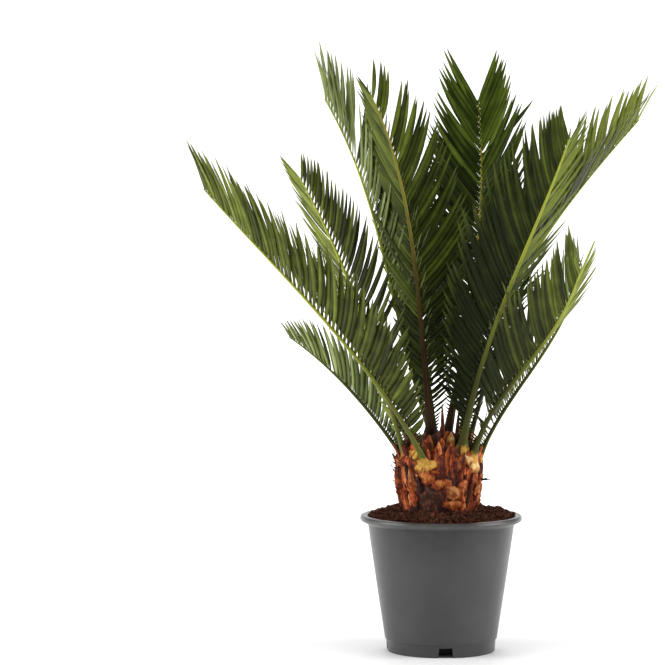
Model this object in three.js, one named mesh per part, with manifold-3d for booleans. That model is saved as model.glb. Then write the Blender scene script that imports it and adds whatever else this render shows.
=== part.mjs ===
// A potted sago palm: a barrel-shaped trunk with feather fronds, in a round plastic pot filled with peat.
// Millimetres, +Z up. The origin is the centre of the pot's flat underside.
import * as THREE from "three";
import { mergeVertices } from "three/addons/utils/BufferGeometryUtils.js";
import Module from "manifold-3d";

const wasm = await Module();
wasm.setup();

// Clearance between neighbouring solids
const CLEAR = 0.3;

// Pot
const POT_HEIGHT = 143;
const POT_WALL = 2;
const LIP_RADIUS = 85.1;
const LIP_HEIGHT = 9.5;
const WALL_TOP_RADIUS = 77;
const FOOT_RADIUS = 56.7;
const FOOT_HEIGHT = 13;
const FOOT_STEP = 2.2;
const PAD_RADIUS = 33;
const CHANNEL_HEIGHT = 10.8;
const POT_SIDES = 40;

// Drain notches in the foot
const NOTCH_COUNT = 4;
const FIRST_NOTCH = 273;
const NOTCH_FOOT_WIDTH = 16;
const NOTCH_TOP_WIDTH = 13.6;
const NOTCH_HEIGHT = 10.4;

// Peat
const PEAT_SIDES = 20;
const PEAT_EDGE = 140.5;
const PEAT_SEAT = 148;
const PEAT_SEAT_RADIUS = 46;
const PEAT_RIPPLE = 0.9;

// Trunk: heights above the floor with the radius there
const TRUNK_FOOT = PEAT_SEAT + CLEAR;
const TRUNK_TOP = 234;
const TRUNK_PROFILE = [
  { height: TRUNK_FOOT, radius: 39.5 },
  { height: 158, radius: 41.5 },
  { height: 172, radius: 43 },
  { height: 187, radius: 44 },
  { height: 203, radius: 43 },
  { height: 213, radius: 37 },
  { height: 222, radius: 28.5 },
  { height: 230, radius: 16.5 },
];
const TRUNK_SIDES = 24;
const TRUNK_RIPPLE = 0.03;
const TRUNK_SHIFT = -2.5;

// Old leaf bases on the trunk
const BASE_COUNT = 32;
const BASE_LOWEST = 154;
const BASE_HIGHEST = 206;
const BASE_WIDTH = 21;
const BASE_TALL = 15;
const BASE_PROUD = 3;
const BASE_SINK = 5;
const GOLDEN_TURN = 137.508;

// Pointed bud scales between the petioles
const BUD_COUNT = 20;
const BUD_LENGTH = 27;
const BUD_RADIUS = 4.6;
const SPEAR_LENGTH = 34;
const SPEAR_RADIUS = 3.6;

// Rib and petiole
const RIB_STEPS = 13;
const BARE_SHARE = 0.11;
const FOOT_SINK = 4.5;
const RIB_FOOT = 4.6;
const RIB_BARE = 3.1;
const RIB_MIDDLE = 2.3;
const RIB_TIP = 0.9;
const FOOT_BOSS = { across: 7.3, out: 6.5, tall: 9 };

// Leaflets, which stand in pairs along the leafy part of the rib
const LEAFLET_SPACING = 13;
const LEAFLET_WIDTH = 9.8;
const LEAFLET_OVERLAP = 1.5;
const LEAFLET_TILT = 1.2;
const LEAFLET_THICK = 1.5;
const LEAFLET_MIDDLE = 0.48;
const LEAFLET_SINK = 0.75;
const SWEEP_TIP = 28;
const SWEEP_FOOT = 64;
const SWEEP_FALL = 1.75;
const SWEEP_CURL = 4;
const SHORTEST_FOOT = 0.24;
const FULL_FROM = 0.36;
const FALL_FROM = 0.6;
const KEEL_TRIES = [0, 9, -9, 18, -18];

// Fronds. foot: bearing on the trunk and height. bearing and rise: at the foot, the middle and the tip.
// roll: turn of the blade about its rib. keel: how far the two rows of leaflets are raised into a V.
// leaflet: length of the longest, and the share of it that is left at the tip.
const FRONDS = [
  {
    name: "frond_left_long",
    foot: { bearing: 246, height: 198, wide: 1.5 },
    length: 388,
    bearing: [229, 208, 188],
    rise: [53, 46, 48],
    roll: -13,
    keel: 48,
    leaflet: { longest: 93, tipShare: 0.62 },
  },
  {
    name: "frond_left_middle",
    foot: { bearing: 202, height: 197 },
    length: 329,
    bearing: [206, 212, 218],
    rise: [73, 67, 54],
    roll: 13,
    keel: 19,
    leaflet: { longest: 79, tipShare: 0.42 },
  },
  {
    name: "frond_left_low",
    foot: { bearing: 170, height: 200 },
    length: 178,
    bearing: [178, 175, 171],
    rise: [56, 47, 33],
    roll: 8,
    keel: 56,
    leaflet: { longest: 60, tipShare: 0.33 },
  },
  {
    name: "frond_left_tall",
    foot: { bearing: 139, height: 229 },
    length: 368,
    bearing: [172, 182, 168],
    rise: [70, 76, 58],
    roll: -10,
    keel: 49,
    leaflet: { longest: 101, tipShare: 0.53 },
  },
  {
    name: "frond_front_left",
    foot: { bearing: 217, height: 229 },
    length: 365,
    bearing: [230, 226, 216],
    rise: [80, 79, 57],
    roll: 20,
    keel: 31,
    leaflet: { longest: 93, tipShare: 0.3 },
  },
  {
    name: "frond_centre",
    foot: { bearing: 62, height: 228 },
    length: 370,
    bearing: [44, 69, 105],
    rise: [74, 71, 71],
    roll: -12,
    keel: 18,
    leaflet: { longest: 103, tipShare: 0.62 },
  },
  {
    name: "frond_right_tall",
    foot: { bearing: 12, height: 224 },
    length: 391,
    bearing: [15, 15, 1],
    rise: [80, 57, 48],
    roll: 18,
    keel: 46,
    leaflet: { longest: 96, tipShare: 0.5 },
  },
  {
    name: "frond_front_right",
    foot: { bearing: 304, height: 209 },
    length: 381,
    bearing: [296, 300, 299],
    rise: [72, 55, 58],
    roll: -10,
    keel: 41,
    leaflet: { longest: 107, tipShare: 0.36 },
  },
  {
    name: "frond_right_low",
    foot: { bearing: 323, height: 200, wide: 1.3 },
    length: 276,
    bearing: [335, 300, 298],
    rise: [77, 37, 62],
    roll: -4,
    keel: 43,
    leaflet: { longest: 90, tipShare: 0.45 },
  },
  {
    name: "frond_right_slim",
    foot: { bearing: 352, height: 200 },
    length: 240,
    bearing: [342, 333, 313],
    rise: [69, 54, 79],
    roll: 28,
    keel: 46,
    leaflet: { longest: 87, tipShare: 0.4 },
  },
  {
    name: "frond_back_right",
    foot: { bearing: 40, height: 208 },
    length: 320,
    bearing: [48, 54, 58],
    rise: [66, 59, 50],
    roll: 0,
    keel: 40,
    leaflet: { longest: 80, tipShare: 0.5 },
  },
  {
    name: "frond_back",
    foot: { bearing: 98, height: 212 },
    length: 325,
    bearing: [102, 106, 108],
    rise: [66, 59, 50],
    roll: 0,
    keel: 40,
    leaflet: { longest: 80, tipShare: 0.5 },
  },
  {
    name: "frond_back_left",
    foot: { bearing: 136, height: 204 },
    length: 250,
    bearing: [142, 146, 148],
    rise: [60, 51, 42],
    roll: 0,
    keel: 40,
    leaflet: { longest: 68, tipShare: 0.5 },
  },
];

const radians = THREE.MathUtils.degToRad;

// A repeatable scatter between -1 and 1, from any pair of numbers
function scatter(a, b) {
  const wave = Math.sin(a * 127.1 + b * 311.7) * 43758.5453;
  return 2 * (wave - Math.floor(wave)) - 1;
}

// Value that runs through three values, at the foot, the middle and the tip
function through([foot, middle, tip], share) {
  return (
    foot * (1 - share) * (1 - 2 * share) +
    middle * 4 * share * (1 - share) +
    tip * share * (2 * share - 1)
  );
}

// Unit vector of a bearing round the pot and a rise above the level
function pointing(bearing, rise) {
  const level = Math.cos(radians(rise));
  return new THREE.Vector3(
    Math.cos(radians(bearing)) * level,
    Math.sin(radians(bearing)) * level,
    Math.sin(radians(rise)),
  );
}

// Closed geometry as a solid for joins and cuts
function solidOf(geometry) {
  const bare = geometry.clone();
  bare.deleteAttribute("normal");
  bare.deleteAttribute("uv");
  const merged = mergeVertices(bare, 1e-4);
  const corners = merged.index.array;
  const faces = [];
  for (let i = 0; i < corners.length; i += 3) {
    const [a, b, c] = [corners[i], corners[i + 1], corners[i + 2]];
    if (a !== b && b !== c && c !== a) faces.push(a, b, c);
  }
  const makeSolid = (triangles) =>
    new wasm.Manifold(
      new wasm.Mesh({
        numProp: 3,
        vertProperties: new Float32Array(merged.attributes.position.array),
        triVerts: new Uint32Array(triangles),
      }),
    );
  const solid = makeSolid(faces);
  return solid.volume() > 0 ? solid : makeSolid(faces.reverse());
}

// Solid back to a geometry for a mesh
function geometryOf(solid) {
  const mesh = solid.getMesh();
  const geometry = new THREE.BufferGeometry();
  geometry.setAttribute("position", new THREE.BufferAttribute(mesh.vertProperties, 3));
  geometry.setIndex(new THREE.BufferAttribute(mesh.triVerts, 1));
  geometry.computeVertexNormals();
  return geometry;
}

// The largest of a solid's separate pieces, without loose scraps
function largest(solid) {
  return solid.decompose().sort((a, b) => b.volume() - a.volume())[0];
}

// Joins many solids
function joined(solids) {
  let layer = solids;
  while (layer.length > 1) {
    const next = [];
    for (let i = 0; i < layer.length; i += 2)
      next.push(i + 1 < layer.length ? layer[i].add(layer[i + 1]) : layer[i]);
    layer = next;
  }
  return layer[0];
}

// Closed skin through rings of points, which may end in single points
function skin(rings) {
  const points = [];
  const starts = rings.map((ring) => {
    points.push(...ring);
    return points.length - ring.length;
  });
  const faces = [];
  for (let r = 0; r + 1 < rings.length; r++) {
    const [lower, upper] = [rings[r].length, rings[r + 1].length];
    const sides = Math.max(lower, upper);
    for (let k = 0; k < sides; k++) {
      const a = starts[r] + (k % lower);
      const b = starts[r] + ((k + 1) % lower);
      const c = starts[r + 1] + (k % upper);
      const d = starts[r + 1] + ((k + 1) % upper);
      if (lower > 1) faces.push(a, b, d);
      if (upper > 1) faces.push(a, d, c);
    }
  }
  for (const end of [0, rings.length - 1])
    for (let k = 1; k + 1 < rings[end].length; k++) {
      const corner = [starts[end], starts[end] + k, starts[end] + k + 1];
      faces.push(...(end === 0 ? corner.reverse() : corner));
    }
  const geometry = new THREE.BufferGeometry();
  geometry.setAttribute(
    "position",
    new THREE.Float32BufferAttribute(
      points.flatMap((p) => [p.x, p.y, p.z]),
      3,
    ),
  );
  geometry.setIndex(faces);
  return geometry;
}

// Round body about the upright axis, from its half section
function turned(section, sides) {
  const profile = section.map(([radius, height]) => new THREE.Vector2(radius, height));
  return new THREE.LatheGeometry(profile, sides).rotateX(Math.PI / 2);
}

// Pot
function makePot() {
  const top = POT_HEIGHT;
  const lipFoot = POT_HEIGHT - LIP_HEIGHT;
  const floor = CHANNEL_HEIGHT + POT_WALL;
  const section = [
    [0, 0],
    [PAD_RADIUS, 0],
    [PAD_RADIUS + 2, CHANNEL_HEIGHT],
    [FOOT_RADIUS - POT_WALL - 1, CHANNEL_HEIGHT],
    [FOOT_RADIUS - POT_WALL, 0],
    [FOOT_RADIUS, 0],
    [FOOT_RADIUS + 0.8, FOOT_HEIGHT - 0.4],
    [FOOT_RADIUS + FOOT_STEP, FOOT_HEIGHT + 1],
    [WALL_TOP_RADIUS, lipFoot],
    [LIP_RADIUS - 0.9, top - 5.6],
    [LIP_RADIUS, top - 3.6],
    [LIP_RADIUS - 0.8, top - 1.2],
    [LIP_RADIUS - 2.6, top],
    [WALL_TOP_RADIUS + 1, top - 0.4],
    [WALL_TOP_RADIUS - 0.6, top - 2],
    [WALL_TOP_RADIUS - POT_WALL, lipFoot - 1],
    [FOOT_RADIUS - POT_WALL + 0.4, floor + 1],
    [FOOT_RADIUS - POT_WALL - 0.6, floor],
    [PAD_RADIUS + 1, floor],
    [PAD_RADIUS - 1.5, POT_WALL],
    [0, POT_WALL],
  ];
  let pot = solidOf(turned(section, POT_SIDES));
  for (let n = 0; n < NOTCH_COUNT; n++) {
    const outline = new THREE.Shape([
      new THREE.Vector2(-NOTCH_FOOT_WIDTH / 2, -1),
      new THREE.Vector2(NOTCH_FOOT_WIDTH / 2, -1),
      new THREE.Vector2(NOTCH_TOP_WIDTH / 2, NOTCH_HEIGHT),
      new THREE.Vector2(-NOTCH_TOP_WIDTH / 2, NOTCH_HEIGHT),
    ]);
    const cutter = new THREE.ExtrudeGeometry(outline, { depth: 12, bevelEnabled: false })
      .rotateX(Math.PI / 2)
      .translate(0, FOOT_RADIUS + 5, 0)
      .rotateZ(radians(FIRST_NOTCH - 90 + (n * 360) / NOTCH_COUNT));
    pot = pot.subtract(solidOf(cutter));
  }
  return pot;
}

// Peat: fills the pot, and rises from the rim to the trunk
function makePeat() {
  const gap = CLEAR + 0.15;
  const floor = CHANNEL_HEIGHT + POT_WALL;
  const footInside = FOOT_RADIUS - POT_WALL + 0.4 - gap;
  const wallInside = WALL_TOP_RADIUS - POT_WALL - gap;
  const section = [
    [0, POT_WALL + gap],
    [PAD_RADIUS - 1.5 - gap, POT_WALL + gap],
    [PAD_RADIUS + 1 - gap, floor + gap],
    [footInside - 1, floor + gap],
    [footInside, floor + 1 + gap],
    [wallInside, POT_HEIGHT - LIP_HEIGHT - 1],
    [wallInside, PEAT_EDGE],
    [wallInside - 9, PEAT_EDGE + 2.4],
    [wallInside - 19, PEAT_EDGE + 4.6],
    [PEAT_SEAT_RADIUS + 3, PEAT_SEAT - 0.6],
    [PEAT_SEAT_RADIUS, PEAT_SEAT],
    [0, PEAT_SEAT],
  ];
  const geometry = turned(section, PEAT_SIDES);
  const place = geometry.attributes.position;
  for (let i = 0; i < place.count; i++) {
    const radius = Math.hypot(place.getX(i), place.getY(i));
    const bearing = Math.atan2(place.getY(i), place.getX(i));
    const open = radius > PEAT_SEAT_RADIUS + 1 && place.getZ(i) >= PEAT_EDGE - 0.01;
    const ripple = Math.sin(3 * bearing + radius / 9) + Math.sin(7 * bearing - radius / 5);
    if (open) place.setZ(i, place.getZ(i) + ripple * PEAT_RIPPLE);
  }
  return solidOf(geometry);
}

// Trunk radius at a height
function trunkRadius(height) {
  const profile = TRUNK_PROFILE;
  if (height <= profile[0].height) return profile[0].radius;
  for (let i = 1; i < profile.length; i++)
    if (height <= profile[i].height) {
      const [low, high] = [profile[i - 1], profile[i]];
      const share = (height - low.height) / (high.height - low.height);
      return low.radius + (high.radius - low.radius) * share;
    }
  const last = profile[profile.length - 1];
  return (last.radius * (TRUNK_TOP - height)) / (TRUNK_TOP - last.height);
}

// Trunk core, made larger all round by grow
function makeCore(grow) {
  const low = TRUNK_FOOT - (grow > 0 ? 1 : 0);
  const section = [[0, low]];
  for (const { height, radius } of TRUNK_PROFILE)
    section.push([radius + grow, height === TRUNK_FOOT ? low : height]);
  section.push([0, TRUNK_TOP + grow]);
  const geometry = turned(section, TRUNK_SIDES);
  const place = geometry.attributes.position;
  for (let i = 0; i < place.count; i++) {
    const bearing = Math.atan2(place.getY(i), place.getX(i));
    const wave = Math.sin(3 * bearing + 1) + 0.6 * Math.sin(5 * bearing + place.getZ(i) / 14);
    const swell = 1 + TRUNK_RIPPLE * 0.6 * wave;
    place.setX(i, place.getX(i) * swell);
    place.setY(i, place.getY(i) * swell);
  }
  return solidOf(geometry);
}

// Old leaf bases: six-sided plates that stand proud of the core, in the spiral in which leaves grow
function makeLeafBases(grow) {
  const bases = [];
  for (let n = 0; n < BASE_COUNT; n++) {
    const share = n / (BASE_COUNT - 1);
    const height = BASE_LOWEST + (BASE_HIGHEST - BASE_LOWEST) * share;
    const bearing = n * GOLDEN_TURN;
    const size = 1 + 0.16 * scatter(n, 1);
    const out = pointing(bearing, 12 + 10 * share);
    const side = pointing(bearing + 90, 0);
    const up = new THREE.Vector3().crossVectors(out, side);
    const centre = pointing(bearing, 0).multiplyScalar(trunkRadius(height));
    centre.z = height;
    const rim = [];
    for (let k = 0; k < 6; k++) {
      const turn = radians(60 * k + 30);
      const across = Math.cos(turn) * (BASE_WIDTH / 2) * size + Math.sign(Math.cos(turn)) * grow;
      const along = Math.sin(turn) * (BASE_TALL / 2) * size + Math.sign(Math.sin(turn)) * grow;
      rim.push(centre.clone().addScaledVector(side, across).addScaledVector(up, along));
    }
    const face = centre.clone().addScaledVector(out, BASE_PROUD * size + grow);
    face.addScaledVector(up, -BASE_TALL * 0.12);
    const root = centre.clone().addScaledVector(out, -BASE_SINK);
    bases.push(solidOf(skin([[root], rim, [face]])));
  }
  return bases;
}

// Pointed bud scales round the growing tip, with one taller spear in the middle
function makeBudScales(grow) {
  const scales = [];
  for (let n = 0; n <= BUD_COUNT; n++) {
    const spear = n === BUD_COUNT;
    const height = spear ? TRUNK_TOP - 6 : 208 + 20 * ((n + 0.5) / BUD_COUNT);
    const bearing = n * GOLDEN_TURN + 40;
    const axis = pointing(bearing, spear ? 88 : 68);
    const side = pointing(bearing + 90, 0);
    const front = new THREE.Vector3().crossVectors(axis, side);
    const foot = pointing(bearing, 0).multiplyScalar(spear ? 1 : trunkRadius(height) - 3);
    foot.z = height - 3;
    const radius = (spear ? SPEAR_RADIUS : BUD_RADIUS) + grow;
    const length = (spear ? SPEAR_LENGTH : BUD_LENGTH * (1 + 0.2 * scatter(n, 2))) + grow;
    const ring = (share, size) =>
      [0, 1, 2, 3].map((k) =>
        foot
          .clone()
          .addScaledVector(axis, length * share)
          .addScaledVector(side, Math.cos((k * Math.PI) / 2) * size)
          .addScaledVector(front, Math.sin((k * Math.PI) / 2) * size * 0.7),
      );
    const tip = foot.clone().addScaledVector(axis, length);
    scales.push(solidOf(skin([ring(0, radius), ring(0.35, radius), [tip]])));
  }
  return scales;
}

// Rib line of a frond: points with the direction along the rib, its side and its upper face
function ribLine(frond) {
  const start = pointing(frond.foot.bearing, 0);
  start.multiplyScalar(Math.max(trunkRadius(frond.foot.height) - FOOT_SINK, 6));
  start.z = frond.foot.height;
  const place = start.clone();
  const line = [];
  const fine = 3;
  for (let i = 0; i <= RIB_STEPS * fine; i++) {
    const share = i / (RIB_STEPS * fine);
    const bearing = through(frond.bearing, share);
    const rise = through(frond.rise, share);
    const along = pointing(bearing, rise);
    const upper = pointing(bearing + 180, 90 - rise).applyAxisAngle(along, radians(frond.roll));
    const side = new THREE.Vector3().crossVectors(along, upper);
    if (i % fine === 0) line.push({ share, place: place.clone(), along, upper, side });
    place.addScaledVector(along, frond.length / (RIB_STEPS * fine));
  }
  return line;
}

// Half width of the rib at a share of its length
function ribHalf(share) {
  if (share < BARE_SHARE) return RIB_FOOT + ((RIB_BARE - RIB_FOOT) * share) / BARE_SHARE;
  const leafy = (share - BARE_SHARE) / (1 - BARE_SHARE);
  if (leafy < 0.5) return RIB_BARE + (RIB_MIDDLE - RIB_BARE) * leafy * 2;
  return RIB_MIDDLE + (RIB_TIP - RIB_MIDDLE) * (leafy * 2 - 1);
}

// Four-sided rib between two steps of its line
function makeRib(line, from, to) {
  const rings = line.slice(from, to + 1).map(({ share, place, upper, side }) => {
    const half = ribHalf(share);
    const corner = (across, up) =>
      place.clone().addScaledVector(side, across * half).addScaledVector(upper, up * half);
    return [corner(0.9, 0.85), corner(-0.9, 0.85), corner(-0.9, -0.75), corner(0.9, -0.75)];
  });
  return solidOf(skin(rings));
}

// Swollen foot of a petiole, on the trunk's skin
function makeFootBoss(frond) {
  const { bearing, height, wide = 1 } = frond.foot;
  const out = pointing(bearing, 0);
  const radius = Math.max(trunkRadius(height) - 1, 10);
  const size = Math.min(1, radius / 32);
  return solidOf(
    new THREE.OctahedronGeometry(1, 1)
      .scale(FOOT_BOSS.out * size, FOOT_BOSS.across * size * wide, FOOT_BOSS.tall * size)
      .rotateZ(radians(bearing))
      .translate(out.x * radius, out.y * radius, height - 2),
  );
}

// Leaflet: three-sided blade that widens from a root sunk in the rib and narrows to a point.
// It is tilted on its own length, so that neighbours overlap like roof tiles and don't touch.
function makeLeaflet(line, share, hand, leafy, { longest, tipShare }, keel, grow) {
  const step = Math.min(Math.floor(share * RIB_STEPS), RIB_STEPS - 1);
  const part = share * RIB_STEPS - step;
  const [here, next] = [line[step], line[step + 1]];
  const root = here.place.clone().lerp(next.place, part);
  const along = here.along.clone().lerp(next.along, part).normalize();
  const upper = here.upper.clone().lerp(next.upper, part).normalize();
  const side = new THREE.Vector3().crossVectors(along, upper).multiplyScalar(hand);
  const lean = side
    .clone()
    .multiplyScalar(Math.cos(radians(keel)))
    .addScaledVector(upper, Math.sin(radians(keel)));
  const lift = new THREE.Vector3().crossVectors(along, lean).normalize().multiplyScalar(hand);
  const sweep = SWEEP_TIP + (SWEEP_FOOT - SWEEP_TIP) * (1 - leafy) ** SWEEP_FALL;
  const towards = (degrees) =>
    along
      .clone()
      .multiplyScalar(Math.cos(radians(degrees)))
      .addScaledVector(lean, Math.sin(radians(degrees)));
  const growing = SHORTEST_FOOT + (1 - SHORTEST_FOOT) * Math.min(1, leafy / FULL_FROM) ** 0.8;
  const ending = Math.max(0, (leafy - FALL_FROM) / (1 - FALL_FROM)) ** 1.5;
  const length = longest * growing * (1 - (1 - tipShare) * ending);
  const outward = towards(sweep + SWEEP_CURL);
  const sunk = root.clone().addScaledVector(outward, -ribHalf(share) * LEAFLET_SINK);
  const middle = root.clone().addScaledVector(outward, length * LEAFLET_MIDDLE);
  const ahead = towards(sweep - SWEEP_CURL);
  const tip = middle.clone().addScaledVector(ahead, length * (1 - LEAFLET_MIDDLE) + grow);
  const across = towards(sweep + 90);
  const room = LEAFLET_SPACING * Math.sin(radians(sweep)) * LEAFLET_OVERLAP;
  const half = Math.min(LEAFLET_WIDTH, room) / 2 + grow;
  const waist = [
    middle.clone().addScaledVector(across, half).addScaledVector(lift, grow + LEAFLET_TILT),
    middle.clone().addScaledVector(across, -half).addScaledVector(lift, grow - LEAFLET_TILT),
    middle.clone().addScaledVector(lift, -LEAFLET_THICK - grow),
  ];
  return solidOf(skin([[sunk], waist, [tip]]));
}

// Box of a solid, for quick tests
function boxOf(solid) {
  const { min, max } = solid.boundingBox();
  return new THREE.Box3(new THREE.Vector3(...min), new THREE.Vector3(...max));
}

// True where a solid runs into any of the pieces
function touches(solid, pieces) {
  const box = boxOf(solid);
  return pieces.some((piece) => {
    if (!piece.box.intersectsBox(box)) return false;
    return piece.solid.intersect(solid).volume() > 1e-6;
  });
}

const pot = makePot();
const peat = makePeat();

// Ribs come first, so that bud scales and leaflets can keep clear of them
const fronds = FRONDS.map((frond) => {
  const line = ribLine(frond);
  const rib = makeRib(line, 0, RIB_STEPS);
  const pieces = [];
  for (let step = 0; step < RIB_STEPS; step++) {
    const solid = makeRib(line, step, step + 1);
    pieces.push({ solid, box: boxOf(solid) });
  }
  return { frond, line, rib, pieces };
});
const ribPieces = fronds.flatMap(({ pieces }) => pieces);

const freeScale = makeBudScales(CLEAR * 2).map((scale) => !touches(scale, ribPieces));
const budScales = (grow) => makeBudScales(grow).filter((scale, n) => freeScale[n]);
const trunkParts = (grow) => [
  ...[makeCore(grow), ...makeLeafBases(grow)].map((solid) => solid.translate(TRUNK_SHIFT, 0, 0)),
  ...budScales(grow),
];

// The trunk ends flat on the peat. A larger trunk is what the fronds are cut back with.
const below = new THREE.BoxGeometry(200, 200, 40).translate(0, 0, TRUNK_FOOT - 20);
const trunk = largest(joined(trunkParts(0)).subtract(solidOf(below)));
const trunkClear = joined(trunkParts(CLEAR));

// Leaflets: a staggered pair at every step. Where one would touch another frond or the trunk, its row's V
// is opened or closed a little for it, and where that isn't enough it is left out.
const trunkPiece = { solid: trunkClear, box: boxOf(trunkClear) };
for (const item of fronds) {
  const { frond, line, pieces } = item;
  const others = fronds.filter((other) => other !== item).flatMap((other) => other.pieces);
  const pairs = Math.round((frond.length * (1 - BARE_SHARE)) / LEAFLET_SPACING);
  item.leaflets = [];
  for (let pair = 0; pair <= pairs; pair++)
    for (const hand of [1, -1]) {
      const leafy = Math.max(0, pair - (hand < 0 ? 0.5 : 0)) / pairs;
      const share = BARE_SHARE + (1 - BARE_SHARE) * leafy * 0.995;
      const sizes = [line, share, hand, leafy, frond.leaflet];
      const keel = KEEL_TRIES.map((turn) => frond.keel + turn).find(
        (angle) => !touches(makeLeaflet(...sizes, angle, CLEAR), [...others, trunkPiece]),
      );
      if (keel === undefined) continue;
      const solid = makeLeaflet(...sizes, keel, 0);
      pieces.push({ solid, box: boxOf(solid) });
      item.leaflets.push(solid);
    }
}

const PLASTIC = { color: 0x4f4f50, roughness: 0.42, metalness: 0 };
const PEAT = { color: 0x38261a, roughness: 0.95, metalness: 0 };
const TRUNK = { color: 0x8a4a26, roughness: 0.85, metalness: 0 };
const LEAF = { color: 0x3f5a22, roughness: 0.5, metalness: 0 };

function makeMesh(name, solid, looks) {
  const mesh = new THREE.Mesh(geometryOf(solid), new THREE.MeshStandardMaterial(looks));
  mesh.name = name;
  return mesh;
}

const palm = new THREE.Group();
palm.add(makeMesh("pot", pot, PLASTIC));
palm.add(makeMesh("peat", peat, PEAT));
palm.add(makeMesh("trunk", trunk, TRUNK));

const crown = new THREE.Group();
for (const { frond, rib, leaflets } of fronds) {
  const whole = joined([rib, makeFootBoss(frond), ...leaflets]).subtract(trunkClear);
  crown.add(makeMesh(frond.name, largest(whole), LEAF));
}
palm.add(crown);

export default palm;
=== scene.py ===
# %% [markdown]
# # A sago palm in a nursery pot
# A young sago palm stands in a plain round nursery pot. It is a cycad: stiff feather fronds grow from
# the top of a short trunk, and the feet of the older fronds stay on that trunk as woody scales.
# The solids of the same plant come first, as a frame. Every piece made here lies in their place and
# has their sizes, but finer: smooth walls, real leaflets, rough bark, loose peat.

# %% Load the solids
import math
import random

import bpy
import numpy as np
from mathutils import Matrix, Vector


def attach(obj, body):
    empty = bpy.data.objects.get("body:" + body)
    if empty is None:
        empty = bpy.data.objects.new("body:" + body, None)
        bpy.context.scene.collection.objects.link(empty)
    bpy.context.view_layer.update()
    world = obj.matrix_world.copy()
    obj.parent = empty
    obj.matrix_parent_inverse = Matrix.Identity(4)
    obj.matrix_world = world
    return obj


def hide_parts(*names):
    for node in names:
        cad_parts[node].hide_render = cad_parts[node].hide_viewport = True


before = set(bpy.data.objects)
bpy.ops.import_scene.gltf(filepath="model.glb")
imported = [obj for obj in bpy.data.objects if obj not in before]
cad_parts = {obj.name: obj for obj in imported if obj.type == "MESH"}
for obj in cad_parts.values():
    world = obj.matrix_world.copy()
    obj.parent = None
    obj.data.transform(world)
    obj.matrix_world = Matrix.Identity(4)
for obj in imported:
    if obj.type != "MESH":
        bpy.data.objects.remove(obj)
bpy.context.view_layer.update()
MM = 0.001
print("solids:", len(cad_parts))

# %% [markdown]
# ## Where the photographer stands
# The pot's rim shows as a flat oval, so the camera looks down by only three degrees. A long lens from
# three metres keeps the fronds that lean forward from looking too large. The plant stands right of
# the middle of the picture, so the camera is set to its left and looks straight ahead.

# %% Camera
EYE = Vector((-0.1139, -3.0, 0.490))
AIM = Vector((-0.1139, 0.0, 0.334))
LENS_MM = 155.5
SENSOR_MM = 36
SEES_TO = 40

bpy.ops.object.select_all(action="DESELECT")
bpy.ops.object.camera_add(location=EYE)
camera = bpy.context.object
camera.name = "camera"
camera.rotation_euler = (AIM - EYE).to_track_quat("-Z", "Y").to_euler()
camera.data.lens = LENS_MM
camera.data.sensor_width = SENSOR_MM
camera.data.clip_end = SEES_TO
bpy.context.scene.camera = camera
fall = math.degrees(math.atan2(EYE.z - AIM.z, AIM.y - EYE.y))
print("camera looks down by", round(fall, 2), "degrees")

# %% [markdown]
# ## Small helpers
# Colours are written as they look on a screen, and one function turns them to the linear values that
# the shader wants. One more adds a node with its settings and its links, so that each material reads
# from top to bottom, and the next adds up patterns by weight. Another turns lists of points and faces
# into a piece: leaflets and crumbs of peat come in thousands, and they are made as one joined mesh
# from arrays. The last gives a piece its material and says which solids it stands for.


# %% Helpers
def linear(code):
    """Linear colour, with alpha, from an sRGB hex code."""
    values = [int(code[i : i + 2], 16) / 255 for i in (1, 3, 5)]
    return [v / 12.92 if v <= 0.04045 else ((v + 0.055) / 1.055) ** 2.4 for v in values] + [1.0]


def add(material, kind, settings=None, links=None):
    """Adds a node. A setting or a link goes to the input of that name or number, or else to the node."""
    node = material.node_tree.nodes.new(kind)
    for name, value in (settings or {}).items():
        if name == "stops":
            stops = node.color_ramp.elements
            while len(stops) < len(value):
                stops.new(0.5)
            for stop, (place, colour) in zip(stops, value):
                stop.position = place
                stop.color = linear(colour)
        elif isinstance(name, int) or name in node.inputs:
            node.inputs[name].default_value = value
        else:
            setattr(node, name, value)
    for name, socket in (links or {}).items():
        material.node_tree.links.new(socket, node.inputs[name])
    return node


def weighted(material, parts, start):
    """Sum of the Fac of several nodes, each with its weight, as a socket."""
    total = start
    for node, weight in parts:
        settings = {"operation": "MULTIPLY_ADD", 1: weight}
        links = {0: node.outputs["Fac"]}
        if isinstance(total, float):
            settings[2] = total
        else:
            links[2] = total
        total = add(material, "ShaderNodeMath", settings, links).outputs["Value"]
    return total


def new_material(name, **settings):
    """A material with one main shader, whose settings are given by their socket's name."""
    material = bpy.data.materials.new(name)
    material.use_nodes = True
    shader = material.node_tree.nodes["Principled BSDF"]
    for key, value in settings.items():
        shader.inputs[key.replace("_", " ")].default_value = value
    return material, shader.inputs, material.node_tree.links.new


def start_clean():
    """Nothing is selected, and Object mode is on."""
    if bpy.context.object and bpy.context.object.mode != "OBJECT":
        bpy.ops.object.mode_set(mode="OBJECT")
    bpy.ops.object.select_all(action="DESELECT")


def only(piece):
    """Selects one piece alone."""
    start_clean()
    piece.select_set(True)
    bpy.context.view_layer.objects.active = piece


def from_arrays(name, points, faces, values, smooth):
    """One mesh from arrays of points in millimetres, with a value per point for the materials."""
    mesh = bpy.data.meshes.new(name)
    mesh.from_pydata((np.asarray(points) * MM).tolist(), [], faces)
    for key, numbers in (values or {}).items():
        layer = mesh.attributes.new(key, "FLOAT", "POINT")
        layer.data.foreach_set("value", np.asarray(numbers, dtype=np.float32))
    mesh.validate()
    piece = bpy.data.objects.new(name, mesh)
    bpy.context.collection.objects.link(piece)
    only(piece)
    bpy.ops.object.shade_smooth_by_angle(angle=math.radians(smooth))
    return piece


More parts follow.
